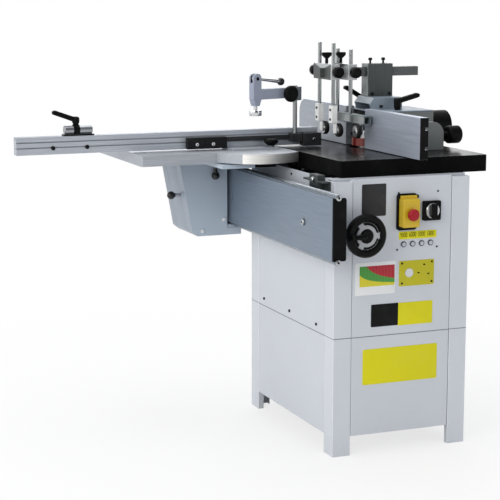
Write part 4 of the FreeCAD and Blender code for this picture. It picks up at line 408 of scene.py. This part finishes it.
def built(name, shape, body, finish):
    """Ends a shape made point by point: its faces turned outwards, on a body, in one finish."""
    bmesh.ops.recalc_face_normals(shape, faces=shape.faces)
    mesh = bpy.data.meshes.new(name)
    shape.to_mesh(mesh)
    shape.free()
    return finished(name, placed(name, mesh), body, [finish])


def drawn_out(shape, face, depth):
    """Makes a flat face into a solid by drawing it out along Y."""
    moved = bmesh.ops.extrude_face_region(shape, geom=[face])["geom"]
    bmesh.ops.translate(shape, vec=(0, depth, 0),
                        verts=[v for v in moved if isinstance(v, bmesh.types.BMVert)])
    bmesh.ops.recalc_face_normals(shape, faces=shape.faces)


sheet_thick = 0.0008


def plate(name, low, high, finish, y=panel_front, thick=sheet_thick, corner=0.003, body="frame"):
    """A thin sheet with round corners on a front face. Its low left and high right corners are
    pairs of x, from the cabinet's left side, and z."""
    left, right = panel_left + low[0] + corner, panel_left + high[0] - corner
    bottom, top = low[1] + corner, high[1] - corner
    shape = bmesh.new()
    outline = []
    for mid_x, mid_z, start in ((right, top, 0), (left, top, 90), (left, bottom, 180), (right, bottom, 270)):
        for angle in range(start, start + 91, 15):
            reach_x = corner * math.cos(math.radians(angle))
            reach_z = corner * math.sin(math.radians(angle))
            outline.append(shape.verts.new((mid_x + reach_x, y, mid_z + reach_z)))
    drawn_out(shape, shape.faces.new(outline), -thick)
    rim = [edge for edge in shape.edges if all(abs(v.co.y - y + thick) < 1e-6 for v in edge.verts)]
    bmesh.ops.bevel(shape, geom=rim, offset=thick * 0.3, segments=2, affect="EDGES", profile=0.5)
    return built(name, shape, body, finish)


def chart_print(name, left, bottom, wide, high):
    """A white sheet with a field of narrow columns: yellow below, green between, red above."""
    made, wire = new_finish(name)
    columns, column_gap, sheet_white = 24, 0.14, (0.80, 0.81, 0.82)
    across = (place_along(wire, "X") - left) * (1 / wide)
    up = (place_along(wire, "Z") - bottom) * (1 / high)
    column = wire.math("FLOOR", across * columns, 0) * (1 / columns)
    green_from = wire.math("DIVIDE", 0.56, 1 + 3.2 * column)
    red_from = wire.math("DIVIDE", 1.72, 1 + 4.2 * column)
    speckle = grain(wire, scale=900.0).limit(0.3, 0.7)
    green = speckle.tint((0.055, 0.28, 0.035), (0.075, 0.34, 0.05))
    yellow = speckle.tint((0.64, 0.57, 0.02), (0.74, 0.66, 0.03))
    red = speckle.tint((0.40, 0.008, 0.020), (0.47, 0.014, 0.026))
    field = wire.math("GREATER_THAN", up, green_from).tint(yellow, green)
    field = wire.math("GREATER_THAN", up, red_from).tint(field, red)
    gap = wire.math("LESS_THAN", wire.math("FRACT", across * columns, 0), column_gap) * 0.22
    field = gap.tint(field, sheet_white)
    inside = wire.math("LESS_THAN", wire.math("ABSOLUTE", across - 0.5, 0), 0.5)
    inside = inside * wire.math("LESS_THAN", wire.math("ABSOLUTE", up - 0.5, 0), 0.5)
    shade, rough = inside.tint(sheet_white, field), 0.42 + 0.08 * speckle
    return close_finish(wire, made, shade, rough, speckle, depth=0.00001, more={"Specular IOR Level": 0.2})


plate_black = moulded("plate_black", (0.024, 0.0235, 0.025), gloss=0.34, depth=0.00002, shine=0.25)
plate_ink = moulded("plate_ink", (0.004, 0.004, 0.0045), gloss=0.40, depth=0.00002, sheen=0.01, shine=0.14)
plate_yellow = moulded("plate_yellow", (0.70, 0.645, 0.010), depth=0.00002, sheen=0.02, shine=0.22)
plate_olive = moulded("plate_olive", (0.52, 0.475, 0.022), gloss=0.44, depth=0.00002, sheen=0.02, shine=0.22)
ink_black = moulded("ink_black", (0.004, 0.004, 0.004), gloss=0.5, depth=0.00001, sheen=0.01, shine=0.1)
disc_white = moulded("disc_white", (0.66, 0.67, 0.68), gloss=0.34, depth=0.00002)
chart_ink = chart_print("chart_print", left=panel_left + 0.081, bottom=0.498, wide=0.1125, high=0.060)
plate("name_plate", (0.0858, 0.7022), (0.1625, 0.795), plate_black, thick=0.0012, corner=0.004)
plate("speed_strip", (0.2055, 0.6296), (0.3280, 0.652), plate_yellow)
plate("speed_chart", (0.0670, 0.4733), (0.1960, 0.569), chart_ink)
plate("gauge_plate", (0.2080, 0.4912), (0.3225, 0.566), plate_olive)
plate("lower_black_plate", (0.1195, 0.3775), (0.2070, 0.444), plate_ink)
plate("lower_yellow_plate", (0.2070, 0.3758), (0.3196, 0.4430), plate_yellow)
plate("stand_plate", (0.0945, 0.2070), (0.3377, 0.3128), plate_yellow, corner=0.005)
plate_face = panel_front - sheet_thick
mark_half, mark_half_high = 0.0035, 0.002
for index, (x, z) in enumerate(((0.2715, 0.5281), (0.3039, 0.5237), (0.2898, 0.5517))):
    plate("gauge_mark_%d" % index, (x - mark_half, z - mark_half_high), (x + mark_half, z + mark_half_high),
          ink_black, y=plate_face, thick=0.0002, corner=0.001)
screws("gauge_plate_screws", to_front,
       [(panel_left + x, plate_face, z) for x in (0.2172, 0.3147) for z in (0.500, 0.5588)],
       radius=0.0030, height=0.0016, finish=black_steel)


def printed(name, words, x, y, z, high, finish):
    """Narrow plain figures in flat ink, upright on a front face and centred on a point."""
    curve = bpy.data.curves.new(name, "FONT")
    curve.body = words
    curve.size = high
    curve.extrude = 0.0001
    curve.align_x = "CENTER"
    curve.align_y = "CENTER"
    writing = placed(name, curve)
    bpy.context.view_layer.update()
    shaped = writing.evaluated_get(bpy.context.evaluated_depsgraph_get())
    mesh = bpy.data.meshes.new_from_object(shaped)
    bpy.data.objects.remove(writing)
    narrow = Matrix.Scale(0.60, 4, (1, 0, 0))
    stood_up = Matrix.Rotation(math.radians(90), 4, "X")
    mesh.transform(Matrix.Translation((x, y, z)) @ stood_up @ narrow)
    return finished(name, placed(name, mesh), "frame", [finish])


first_speed_x, speed_pitch = panel_left + 0.2213, 0.0288
for index, speed in enumerate(("9000", "6000", "3000", "1800")):
    printed("speed_" + speed, speed, x=first_speed_x + speed_pitch * index, y=plate_face - 0.00005, z=0.6415,
            high=0.0195, finish=ink_black)


def dish(name, x, y, z, rings, finish):
    """A round turned sheet on a front face; rings are pairs of radius and height."""
    shape = bmesh.new()
    loops = []
    angles = [math.radians(degrees) for degrees in range(0, 360, 9)]
    for radius, out in rings:
        loops.append([shape.verts.new((x + radius * math.cos(a), y - out, z + radius * math.sin(a)))
                      for a in angles])
    for inner, outer in zip(loops, loops[1:]):
        for i in range(len(inner)):
            shape.faces.new((inner[i - 1], inner[i], outer[i], outer[i - 1]))
    shape.faces.new(loops[-1])
    shape.faces.new(loops[0])
    return built(name, shape, "frame", finish)


disc_rings = ((0.013, 0), (0.013, 0.0022), (0.0115, 0.0026), (0.0095, 0.0014), (0.003, 0.0012))
dish("gauge_disc", x=panel_left + 0.2405, y=plate_face, z=0.5298, rings=disc_rings, finish=disc_white)

# Table: grey cast iron, ground flat on top and painted dark below, with two insert rings
# round the spindle. The grinding leaves fine lines along the feed.


def ground_iron(name, colour, along=(140, 3, 140), gloss=0.40, shine=0.35):
    """Ground cast iron: fine lines that run along the axis whose number is small, and clouds."""
    made, wire = new_finish(name)
    lines = grain(wire, scale=6.0, detail=5.0, stretch=along)
    cloud = grain(wire, scale=9.0, detail=5.0)
    pale = tuple(min(1, c * 1.9 + 0.002) for c in colour)
    shade = (cloud.limit(0.35, 0.75) * 0.5 + lines.limit(0.45, 0.8) * 0.35).tint(colour, pale)
    rough = gloss + 0.22 * lines - 0.1 * cloud
    relief = lines + 0.4 * grain(wire, scale=420.0)
    return close_finish(wire, made, shade, rough, relief, depth=0.00003, more={"Specular IOR Level": shine})


dark_iron = ground_iron("dark_iron", (0.0055, 0.0056, 0.006), gloss=0.20, shine=0.15)
ring_iron = ground_iron("ring_iron", (0.010, 0.011, 0.011), along=(60, 60, 60), gloss=0.22)
table_side = moulded("table_side", (0.0022, 0.0022, 0.0025), gloss=0.5, depth=0.0001, sheen=0.004,
                     shine=0.05)
eased("main_table", dark_iron, [(table_side, lambda c, n: n.z < 0.5)], edge=0.0014, steps=3)
eased("insert_rings", ring_iron, edge=0.0006)

# Carriage beam: a drawn aluminium section, anodised blue grey, with bright guide rods along
# its edges and moulded black caps on its ends. Dark steel brackets, a block and bolts behind
# it hold it to the cabinet.


def drawn_metal(name, colour, stretch, gloss=0.36, metal=0.75, lines_deep=0.00004):
    """Metal with fine drawing or milling lines along the axis whose stretch is small."""
    made, wire = new_finish(name)
    lines = grain(wire, scale=5.0, detail=6.0, stretch=stretch)
    stain = grain(wire, scale=7.0, detail=4.0)
    pale = tuple(min(1, c * 1.14) for c in colour)
    dull = tuple(c * 0.88 for c in colour)
    shade = lines.limit(0.35, 0.65).tint(dull, pale)
    shade = (stain.limit(0.5, 0.8) * 0.35).tint(shade, dull)
    rough = gloss + 0.16 * lines - 0.06 * stain
    relief = lines + 0.25 * grain(wire, scale=700.0)
    return close_finish(wire, made, shade, rough, relief, lines_deep, {"Metallic": metal})


beam_skin = drawn_metal("beam_skin", (0.20, 0.245, 0.31), (130, 1.5, 130), gloss=0.38, metal=0.55)
guide_steel = drawn_metal("guide_steel", (0.24, 0.275, 0.31), (60, 2, 60), gloss=0.22, metal=0.9,
                          lines_deep=0.000004)
zinc_steel = drawn_metal("zinc_steel", (0.46, 0.47, 0.48), (40, 40, 40), gloss=0.26, metal=1.0,
                         lines_deep=0.00001)
bracket_paint = moulded("bracket_paint", (0.022, 0.030, 0.031), gloss=0.40, depth=0.0001)
cap_start, bolt_heads_to = 0.5388, 0.0765
eased("carriage_beam", beam_skin, [(black_moulding, lambda c, n: abs(c.y) > cap_start)], edge=0.0012)
eased("guide_rods", guide_steel, edge=0.0012, steps=3)
eased("beam_brackets", bracket_paint, [(zinc_steel, lambda c, n: c.x < bolt_heads_to)], edge=0.0008)


def bar(name, outline, near, far, finish, body):
    """A straight piece along Y: an outline of x and z pairs between two ends, its edges eased."""
    shape = bmesh.new()
    end = shape.faces.new([shape.verts.new((x, near, z)) for x, z in outline])
    drawn_out(shape, end, far - near)
    bmesh.ops.bevel(shape, geom=list(shape.edges), offset=0.0008, segments=2, affect="EDGES", profile=0.5)
    return built(name, shape, body, finish)


def oblong(left, bottom, right, top):
    """The outline of a bar with square corners."""
    return (left, bottom), (right, bottom), (right, top), (left, top)


beam_left = corners("carriage_beam")[0].x
rod_front = corners("guide_rods")[0].y
block_left, bolt_height = 0.0955, 0.693
bar("bracket_block", oblong(block_left, 0.778, panel_left - 0.0005, 0.819), near=-0.318, far=-0.262,
    finish=bracket_paint, body="frame")
screws("bracket_bolt", to_left, [(block_left, -0.292, 0.805)], radius=0.0078, height=0.0070,
       finish=zinc_steel)
screws("beam_bolt", to_left, [(beam_left + 0.0005, -0.348, bolt_height)], radius=0.0085, height=0.006,
       finish=zinc_steel)
screws("rod_end_screws", to_front, [(0.052, rod_front, z) for z in (0.786, 0.608)], radius=0.0080,
       height=0.0030, finish=zinc_steel)
screws("beam_plug", to_left, [(beam_left, 0.211, bolt_height)], radius=0.0090, height=0.0008,
       finish=beam_skin, hole_shade=beam_skin)

# Saddle and sliding table: two folded steel gussets behind a cover sheet, painted blue grey,
# that run on the rods, and a milled aluminium table on plates on top, with a round mitre disc.
saddle_coat = powder_coat("saddle_coat", (0.40, 0.465, 0.54))
milled_slide = drawn_metal("milled_slide", (0.385, 0.41, 0.45), (2, 90, 90), gloss=0.42, metal=0.35,
                           lines_deep=0.00002)
disc_rim = drawn_metal("disc_rim", (0.80, 0.79, 0.765), (2, 2, 120), gloss=0.30, metal=0.8,
                       lines_deep=0.000004)
# A darker copy of the saddle's coat is painted shade: it goes on the saddle's left faces and on the whole
# cover sheet under the table.
saddle_shaded_side = powder_coat("saddle_shaded_side", (0.27, 0.31, 0.37))
side_from, rim_from = -0.06, -0.036
disc_x, disc_y, disc_radius = 0.048, 0.045, 0.147


def on_disc_rim(c, n):
    on_round = abs(math.hypot(c.x - disc_x, c.y - disc_y) - disc_radius) < 0.002
    return on_round and abs(n.z) < 0.5 and c.x > rim_from


eased("saddle", saddle_coat, [(saddle_shaded_side, lambda c, n: n.x < -0.5 and c.x < side_from)])
eased("sliding_table", milled_slide, [(disc_rim, on_disc_rim)], steps=3)
saddle_front = corners("saddle")[0].y
slide_low, slide_high = 0.8145, 0.8268
cover_outline = ((-0.1295, slide_low), (-0.0878, 0.5855), (-0.0690, 0.5705), (-0.0670, 0.5735),
                 (-0.0845, 0.5872), (-0.1262, slide_low))
bar("saddle_cover", cover_outline, near=0.271, far=0.373, finish=saddle_shaded_side, body="carriage")
bar("slide_plate", oblong(-0.090, slide_low, 0.015, slide_high), near=-0.045, far=saddle_front,
    finish=saddle_coat, body="carriage")
bar("slide_block", oblong(0.0155, slide_low, 0.085, slide_high), near=-0.039, far=saddle_front,
    finish=black_moulding, body="carriage")
screws("saddle_screws", to_front, [(x, saddle_front, z) for x, z in ((0.0199, 0.6202), (-0.0527, 0.5863))],
       radius=0.006, height=0.005, finish=disc_white, hole_shade=disc_white, body="carriage")
ball_black = moulded("ball_black", (0.004, 0.004, 0.0045), gloss=0.14, depth=0.00001, sheen=0.02)
lock_stem_from, lever_stem_from = -0.132, 0.7865
eased("lock_knob", ball_black, [(zinc_steel, lambda c, n: c.x > lock_stem_from)], edge=0.0012, steps=3,
      angle=40)
eased("swing_lever", ball_black, [(zinc_steel, lambda c, n: c.z > lever_stem_from)], edge=0.0012, steps=3,
      angle=40)

# Mitre rail: a slotted aluminium section on a pivoting plate, with black moulded backing
# blocks, a mushroom knob that locks it and a chromed column for the hold-down.
rail_skin = drawn_metal("rail_skin", (0.45, 0.48, 0.53), (1.2, 150, 150), gloss=0.38, metal=0.55)
hard_chrome = drawn_metal("hard_chrome", (0.27, 0.285, 0.29), (60, 60, 60), gloss=0.13, metal=1.0,
                          lines_deep=0.000004)
black_block = moulded("black_block", (0.012, 0.013, 0.0145), gloss=0.45, depth=0.0001, sheen=0.02)
pad_black = moulded("pad_black", (0.006, 0.0065, 0.007), depth=0.0001, sheen=0.01, shine=0.2)
pivot_plate_top, knob_stem_to = 0.8665, 0.8695
hold_column_x, hold_column_y, hold_column_from = 0.192, 0.0655, 0.9025
pad_right, pad_back, pad_front = -0.030, 0.0705, 0.059


def from_hold_column(c):
    return math.hypot(c.x - hold_column_x, c.y - hold_column_y)


eased("mitre_rail", rail_skin, [(milled_slide, lambda c, n: c.z < pivot_plate_top)], edge=0.0006)
eased("rail_blocks", black_block, [
    (hard_chrome, lambda c, n: from_hold_column(c) < 0.0075 and c.z > hold_column_from),
    (pad_black, lambda c, n: c.x < pad_right and c.y < pad_back)])
eased("star_knob", black_moulding, [(zinc_steel, lambda c, n: c.z < knob_stem_to)], edge=0.0012, steps=3,
      angle=20)
screws("pad_screws", to_front, [(x, pad_front, 0.880) for x in (-0.131, -0.079)], radius=0.005, height=0.002,
       finish=disc_white, hole_shade=plate_black, body="mitre")
plate("pad_joint", (-0.2255, 0.8690), (-0.2243, 0.8985), ink_black, y=pad_front, thick=0.0002, corner=0.0003,
      body="mitre")
screws("rail_screws", to_front, [(x, 0.079, 0.8845) for x in (-0.571, -0.468)], radius=0.0062, height=0.004,
       finish=black_steel, body="mitre")
screws("end_block_screws", to_front, [(0.250, 0.049, 0.884)], radius=0.005, height=0.003, finish=zinc_steel,
       body="mitre")

# Length stop: a bright turned barrel on a plate that rides on the rail, with a black ring
# and a moulded clamp lever.
turned_steel = drawn_metal("turned_steel", (0.33, 0.345, 0.365), (80, 4, 4), gloss=0.30, metal=0.9)
ring_left, ring_right, ring_low, plate_top = -0.5065, -0.4875, 0.9235, 0.9225
eased("flip_stop", turned_steel, [
    (black_moulding, lambda c, n: ring_left < c.x < ring_right and c.z > ring_low),
    (black_steel, lambda c, n: c.z < plate_top)], edge=0.0008)
eased("stop_lever", black_moulding, edge=0.0018, steps=3, angle=25)

# Hold-down: a cast arm painted in a lavender grey, its black clamp knob, and a bright
# eccentric lever on a pin over a plunger, with a thick round pad as its foot.
cast_paint = powder_coat("cast_paint", (0.30, 0.33, 0.42), peel=0.0002, gloss=0.42)
hub_paint = powder_coat("hub_paint", (0.14, 0.165, 0.19), peel=0.0002, gloss=0.42)
bright_chrome = drawn_metal("bright_chrome", (0.60, 0.62, 0.63), (60, 60, 60), gloss=0.12, metal=1.0,
                            lines_deep=0.000004)
cam_pivot = Vector((0.0419, 0.0196, 1.076))
cam_axis = Vector((0.29237, -0.95630, 0))
lever_ball, ball_reach = Vector((0.1376, 0.0488, 1.0636)), 0.0135
pin_reach, hub_reach = 0.0031, 0.0206


def on_cam_pin(c, n):
    away = c - cam_pivot
    return (away - cam_axis * away.dot(cam_axis)).length < pin_reach


eased("hold_arm", cast_paint, [
    (black_steel, on_cam_pin),
    (hub_paint, lambda c, n: from_hold_column(c) < hub_reach)], edge=0.0016, steps=3)
eased("hold_knob", black_moulding, edge=0.0022, steps=4, angle=20)
eased("hold_lever", bright_chrome, [(ball_black, lambda c, n: (c - lever_ball).length < ball_reach)],
      edge=0.0008, angle=40)
eased("hold_foot", bright_chrome, steps=3)
screws("cam_pin_head", cam_axis, [cam_pivot + cam_axis * 0.011], radius=0.005, height=0.002,
       finish=black_steel, body="hold_arm")
pad_low, pad_high, pad_radius = 0.9648, 0.9815, 0.0192
pad_middle = (cam_pivot.x, cam_pivot.y, (pad_low + pad_high) / 2)
pad_shape = bmesh.new()
bmesh.ops.create_cone(pad_shape, cap_ends=True, segments=48, radius1=pad_radius, radius2=pad_radius,
                      depth=pad_high - pad_low, matrix=Matrix.Translation(pad_middle))
rims = [edge for edge in pad_shape.edges if abs(edge.verts[0].co.z - edge.verts[1].co.z) < 1e-6]
bmesh.ops.bevel(pad_shape, geom=rims, offset=0.0014, segments=3, affect="EDGES", profile=0.5)
built("foot_pad", pad_shape, "hold_foot", bright_chrome)

# Fence: one grey casting with a hood over the cutter, two drawn aluminium plates in front
# of it, a fluted adjusting knob and the black hose port behind.
plate_skin = drawn_metal("plate_skin", (0.35, 0.385, 0.455), (130, 1.5, 130), gloss=0.40, metal=0.45)
outfeed_skin = drawn_metal("outfeed_skin", (0.37, 0.40, 0.45), (130, 1.5, 130), gloss=0.38, metal=0.5)
fence_coat = powder_coat("fence_coat", (0.165, 0.178, 0.175), peel=0.0003, gloss=0.45)
hood_coat = powder_coat("hood_coat", (0.20, 0.25, 0.30), peel=0.0002, gloss=0.40)
# A paler copy of the hood's coat is a painted highlight on the hood's faces that slope up to the left,
# towards the key lamp.
hood_highlight_coat = powder_coat("hood_highlight_coat", (0.36, 0.40, 0.44), peel=0.0002, gloss=0.40)
infeed_end = corners("infeed_plate")[0].y
eased("fence_casting", fence_coat, edge=0.0014)
eased("hood_cover", hood_coat, [(hood_highlight_coat, lambda c, n: n.x < -0.5 and n.z > 0.3)], edge=0.0012)
eased("extraction_port", black_moulding, edge=0.0012)
eased("infeed_plate", plate_skin, [(black_moulding, lambda c, n: c.y < infeed_end + 0.0005)], edge=0.0008)
eased("outfeed_plate", outfeed_skin, edge=0.0008)
eased("adjust_knob", black_moulding, edge=0.0022, steps=4, angle=20)
for lever_node in ("clamp_lever_near", "clamp_lever_far"):
    eased(lever_node, black_moulding, edge=0.0018, steps=3, angle=25)

# Presser: an aluminium column and square bar, two clamp blocks, chromed rods with white
# moulded forks, and rubber rollers on bright hubs.
column_skin = drawn_metal("column_skin", (0.066, 0.077, 0.076), (60, 60, 2), gloss=0.46, metal=0.35)
# A pale copy of the column's metal is a painted highlight and reflection on its left faces, which face the
# light.
column_highlight_side = drawn_metal("column_highlight_side", (0.30, 0.32, 0.32), (60, 60, 2), gloss=0.40, metal=0.5)
bar_skin = drawn_metal("bar_skin", (0.085, 0.094, 0.092), (2, 80, 80), gloss=0.42, metal=0.4)
block_skin = drawn_metal("block_skin", (0.50, 0.52, 0.53), (50, 50, 50), gloss=0.40, metal=0.3)
white_moulding = moulded("white_moulding", (0.96, 0.97, 0.96), gloss=0.4)
holder_skin = drawn_metal("holder_skin", (0.16, 0.195, 0.205), (90, 2, 90), gloss=0.46, metal=0.3,
                          lines_deep=0.00001)
tyre_rubber = moulded("tyre_rubber", (0.008, 0.008, 0.008), gloss=0.62, depth=0.0002, sheen=0.01, shine=0.3)


def middle(node):
    """The middle of a CAD piece's box, which lies on its axis where the piece is round."""
    low, high = corners(node)
    return (low + high) / 2


to_top = (0, 0, 1)
column_front, column_top = corners("presser_column")[0].y, corners("presser_column")[1].z
eased("presser_column", column_skin, [(column_highlight_side, lambda c, n: n.x < -0.5)], edge=0.0012)
screws("column_screws", to_front,
       [(0.444, column_front, 1.019), (0.504, column_front, 1.019), (0.444, -0.020, 0.984)],
       radius=0.005, height=0.004, finish=black_steel, body="fence")
clamp_bolts = [(x, middle("presser_column").y) for x in (0.448, 0.493)]
screws("clamp_bolt_stems", to_top, [(x, y, column_top) for x, y in clamp_bolts], radius=0.0032, height=0.012,
       finish=black_steel, body="fence")
screws("clamp_bolt_heads", to_top, [(x, y, column_top + 0.011) for x, y in clamp_bolts], radius=0.0062,
       height=0.006, finish=black_steel, body="fence")
bar_y, bar_half, bar_low, bar_high = 0.065, 0.0131, 1.0725, 1.1015
fork_top, fork_right = 0.9885, 0.3075
holder_low, holder_top = 0.9375, 0.9655
fork_left = corners("outer_presser")[0].x
eased("presser_bar", block_skin, [
    (bar_skin, lambda c, n: abs(c.y - bar_y) < bar_half and bar_low < c.z < bar_high)])
eased("outer_presser", hard_chrome, [(white_moulding, lambda c, n: c.z < fork_top and c.x < fork_right)])
eased("inner_presser", hard_chrome, [(holder_skin, lambda c, n: holder_low < c.z < holder_top)])
screws("fork_screws", to_left, [(fork_left, y, z) for y in (0.015, 0.116) for z in (0.946, 0.975)],
       radius=0.0040, height=0.0025, finish=black_steel, body="outer_presser")
hub_radius = 0.0115
for roller_node in ("roller_near", "roller_far", "roller_inner"):
    axle = middle(roller_node)
    eased(roller_node, tyre_rubber,
          [(zinc_steel, lambda c, n: math.hypot(c.y - axle.y, c.z - axle.z) < hub_radius)])
for grip_node in ("grip_outer_near", "grip_outer_far", "grip_inner"):
    eased(grip_node, black_moulding, edge=0.0026, steps=4, angle=20)
for wing_node in ("wing_knob_outer", "wing_knob_inner"):
    eased(wing_node, black_moulding, edge=0.0012, steps=3, angle=25)

# Spindle and lift: ground steel and cast iron behind the panels, with a red enamelled
# cutter block on the arbor and a painted motor.
# The cutter's red is darkened by painted shade, for the shade it sits in under the hood.
shaded_cutter_red = moulded("shaded_cutter_red", (0.19, 0.026, 0.021), gloss=0.34, depth=0.00004)
motor_coat = powder_coat("motor_coat", (0.10, 0.16, 0.24), peel=0.0002, gloss=0.4)
raw_iron = ground_iron("raw_iron", (0.06, 0.062, 0.065), along=(20, 20, 20), gloss=0.55)
bright_steel = drawn_metal("bright_steel", (0.48, 0.49, 0.50), (50, 50, 6), gloss=0.26, metal=1.0)
eased("cutter_block", shaded_cutter_red, edge=0.0006)
for steel_node in ("spindle_shaft", "spindle_rings", "spindle_bearings", "lift_columns", "lift_screw",
                   "motor_pulley"):
    eased(steel_node, bright_steel, edge=0.0005)
eased("lift_carriage", raw_iron, edge=0.0012)
eased("motor_body", motor_coat, edge=0.0008)
eased("drive_belt", tyre_rubber, edge=0.0008)

# Handwheel: a black moulded dish with a grey ring of three lugs round its hub and a handle
# that folds. It sits on a steel shaft that runs into the cabinet, with a blackened front end.
lug_grey = moulded("lug_grey", (0.40, 0.41, 0.43), gloss=0.5)
wheel_black = moulded("wheel_black", (0.0022, 0.0022, 0.0025), gloss=0.34, sheen=0.006, shine=0.12)
wheel_axis = middle("handwheel_shaft")
hub_inner, hub_outer, lug_reach = 0.010, 0.0195, 0.0415
lug_front, lug_back, shaft_black_to = -0.4478, -0.4415, -0.40


def on_lug_ring(c, n):
    radius = math.hypot(c.x - wheel_axis.x, c.z - wheel_axis.z)
    in_hub = hub_inner < radius < hub_outer
    return not in_hub and radius < lug_reach and lug_front < c.y < lug_back


eased("handwheel", wheel_black, [(lug_grey, on_lug_ring)], edge=0.0024, steps=4, angle=22)
eased("crank_handle", wheel_black, edge=0.0014, steps=3, angle=22)
eased("handwheel_shaft", bright_steel, [(wheel_black, lambda c, n: c.y < shaft_black_to)], edge=0.0005)

# Switch and selector: a black switch plate with a hinged yellow flap and a red mushroom
# button, a square selector with a silver face, and four lamps in dark metal bezels.
flap_yellow = moulded("flap_yellow", (0.62, 0.42, 0.012), gloss=0.32)
button_red = moulded("button_red", (0.35, 0.006, 0.014), gloss=0.30, depth=0.00003, sheen=0.02, shine=0.3)
button_green = moulded("button_green", (0.03, 0.28, 0.06), gloss=0.3)
lens_grey = moulded("lens_grey", (0.46, 0.48, 0.53), gloss=0.2)
bezel_dark = drawn_metal("bezel_dark", (0.09, 0.095, 0.11), (60, 60, 60), gloss=0.20, metal=0.9)
lamp_row_mid, lamp_pitch, lamp_height = 0.3849, 0.0292, 0.615
lens_radius, bezel_radius, lamp_base = 0.0044, 0.0095, panel_front - 0.0002
lamp_mids = [lamp_row_mid + lamp_pitch * (index - 1.5) for index in range(4)]
selector_face = -0.3965


def from_lamp(c):
    return min(math.hypot(c.x - mid, c.z - lamp_height) for mid in lamp_mids)


eased("switch_base", black_moulding, [
    (lens_grey, lambda c, n: from_lamp(c) < lens_radius and c.y < lamp_base),
    (bezel_dark, lambda c, n: from_lamp(c) < bezel_radius and c.y < lamp_base)], edge=0.0008, steps=3)
eased("switch_flap", flap_yellow, edge=0.0008, steps=3)
eased("stop_button", button_red, edge=0.0024, steps=4, angle=18)
eased("start_button", button_green, steps=3)
eased("selector_knob", black_moulding, [(zinc_steel, lambda c, n: c.y > selector_face)], edge=0.0012,
      steps=3)
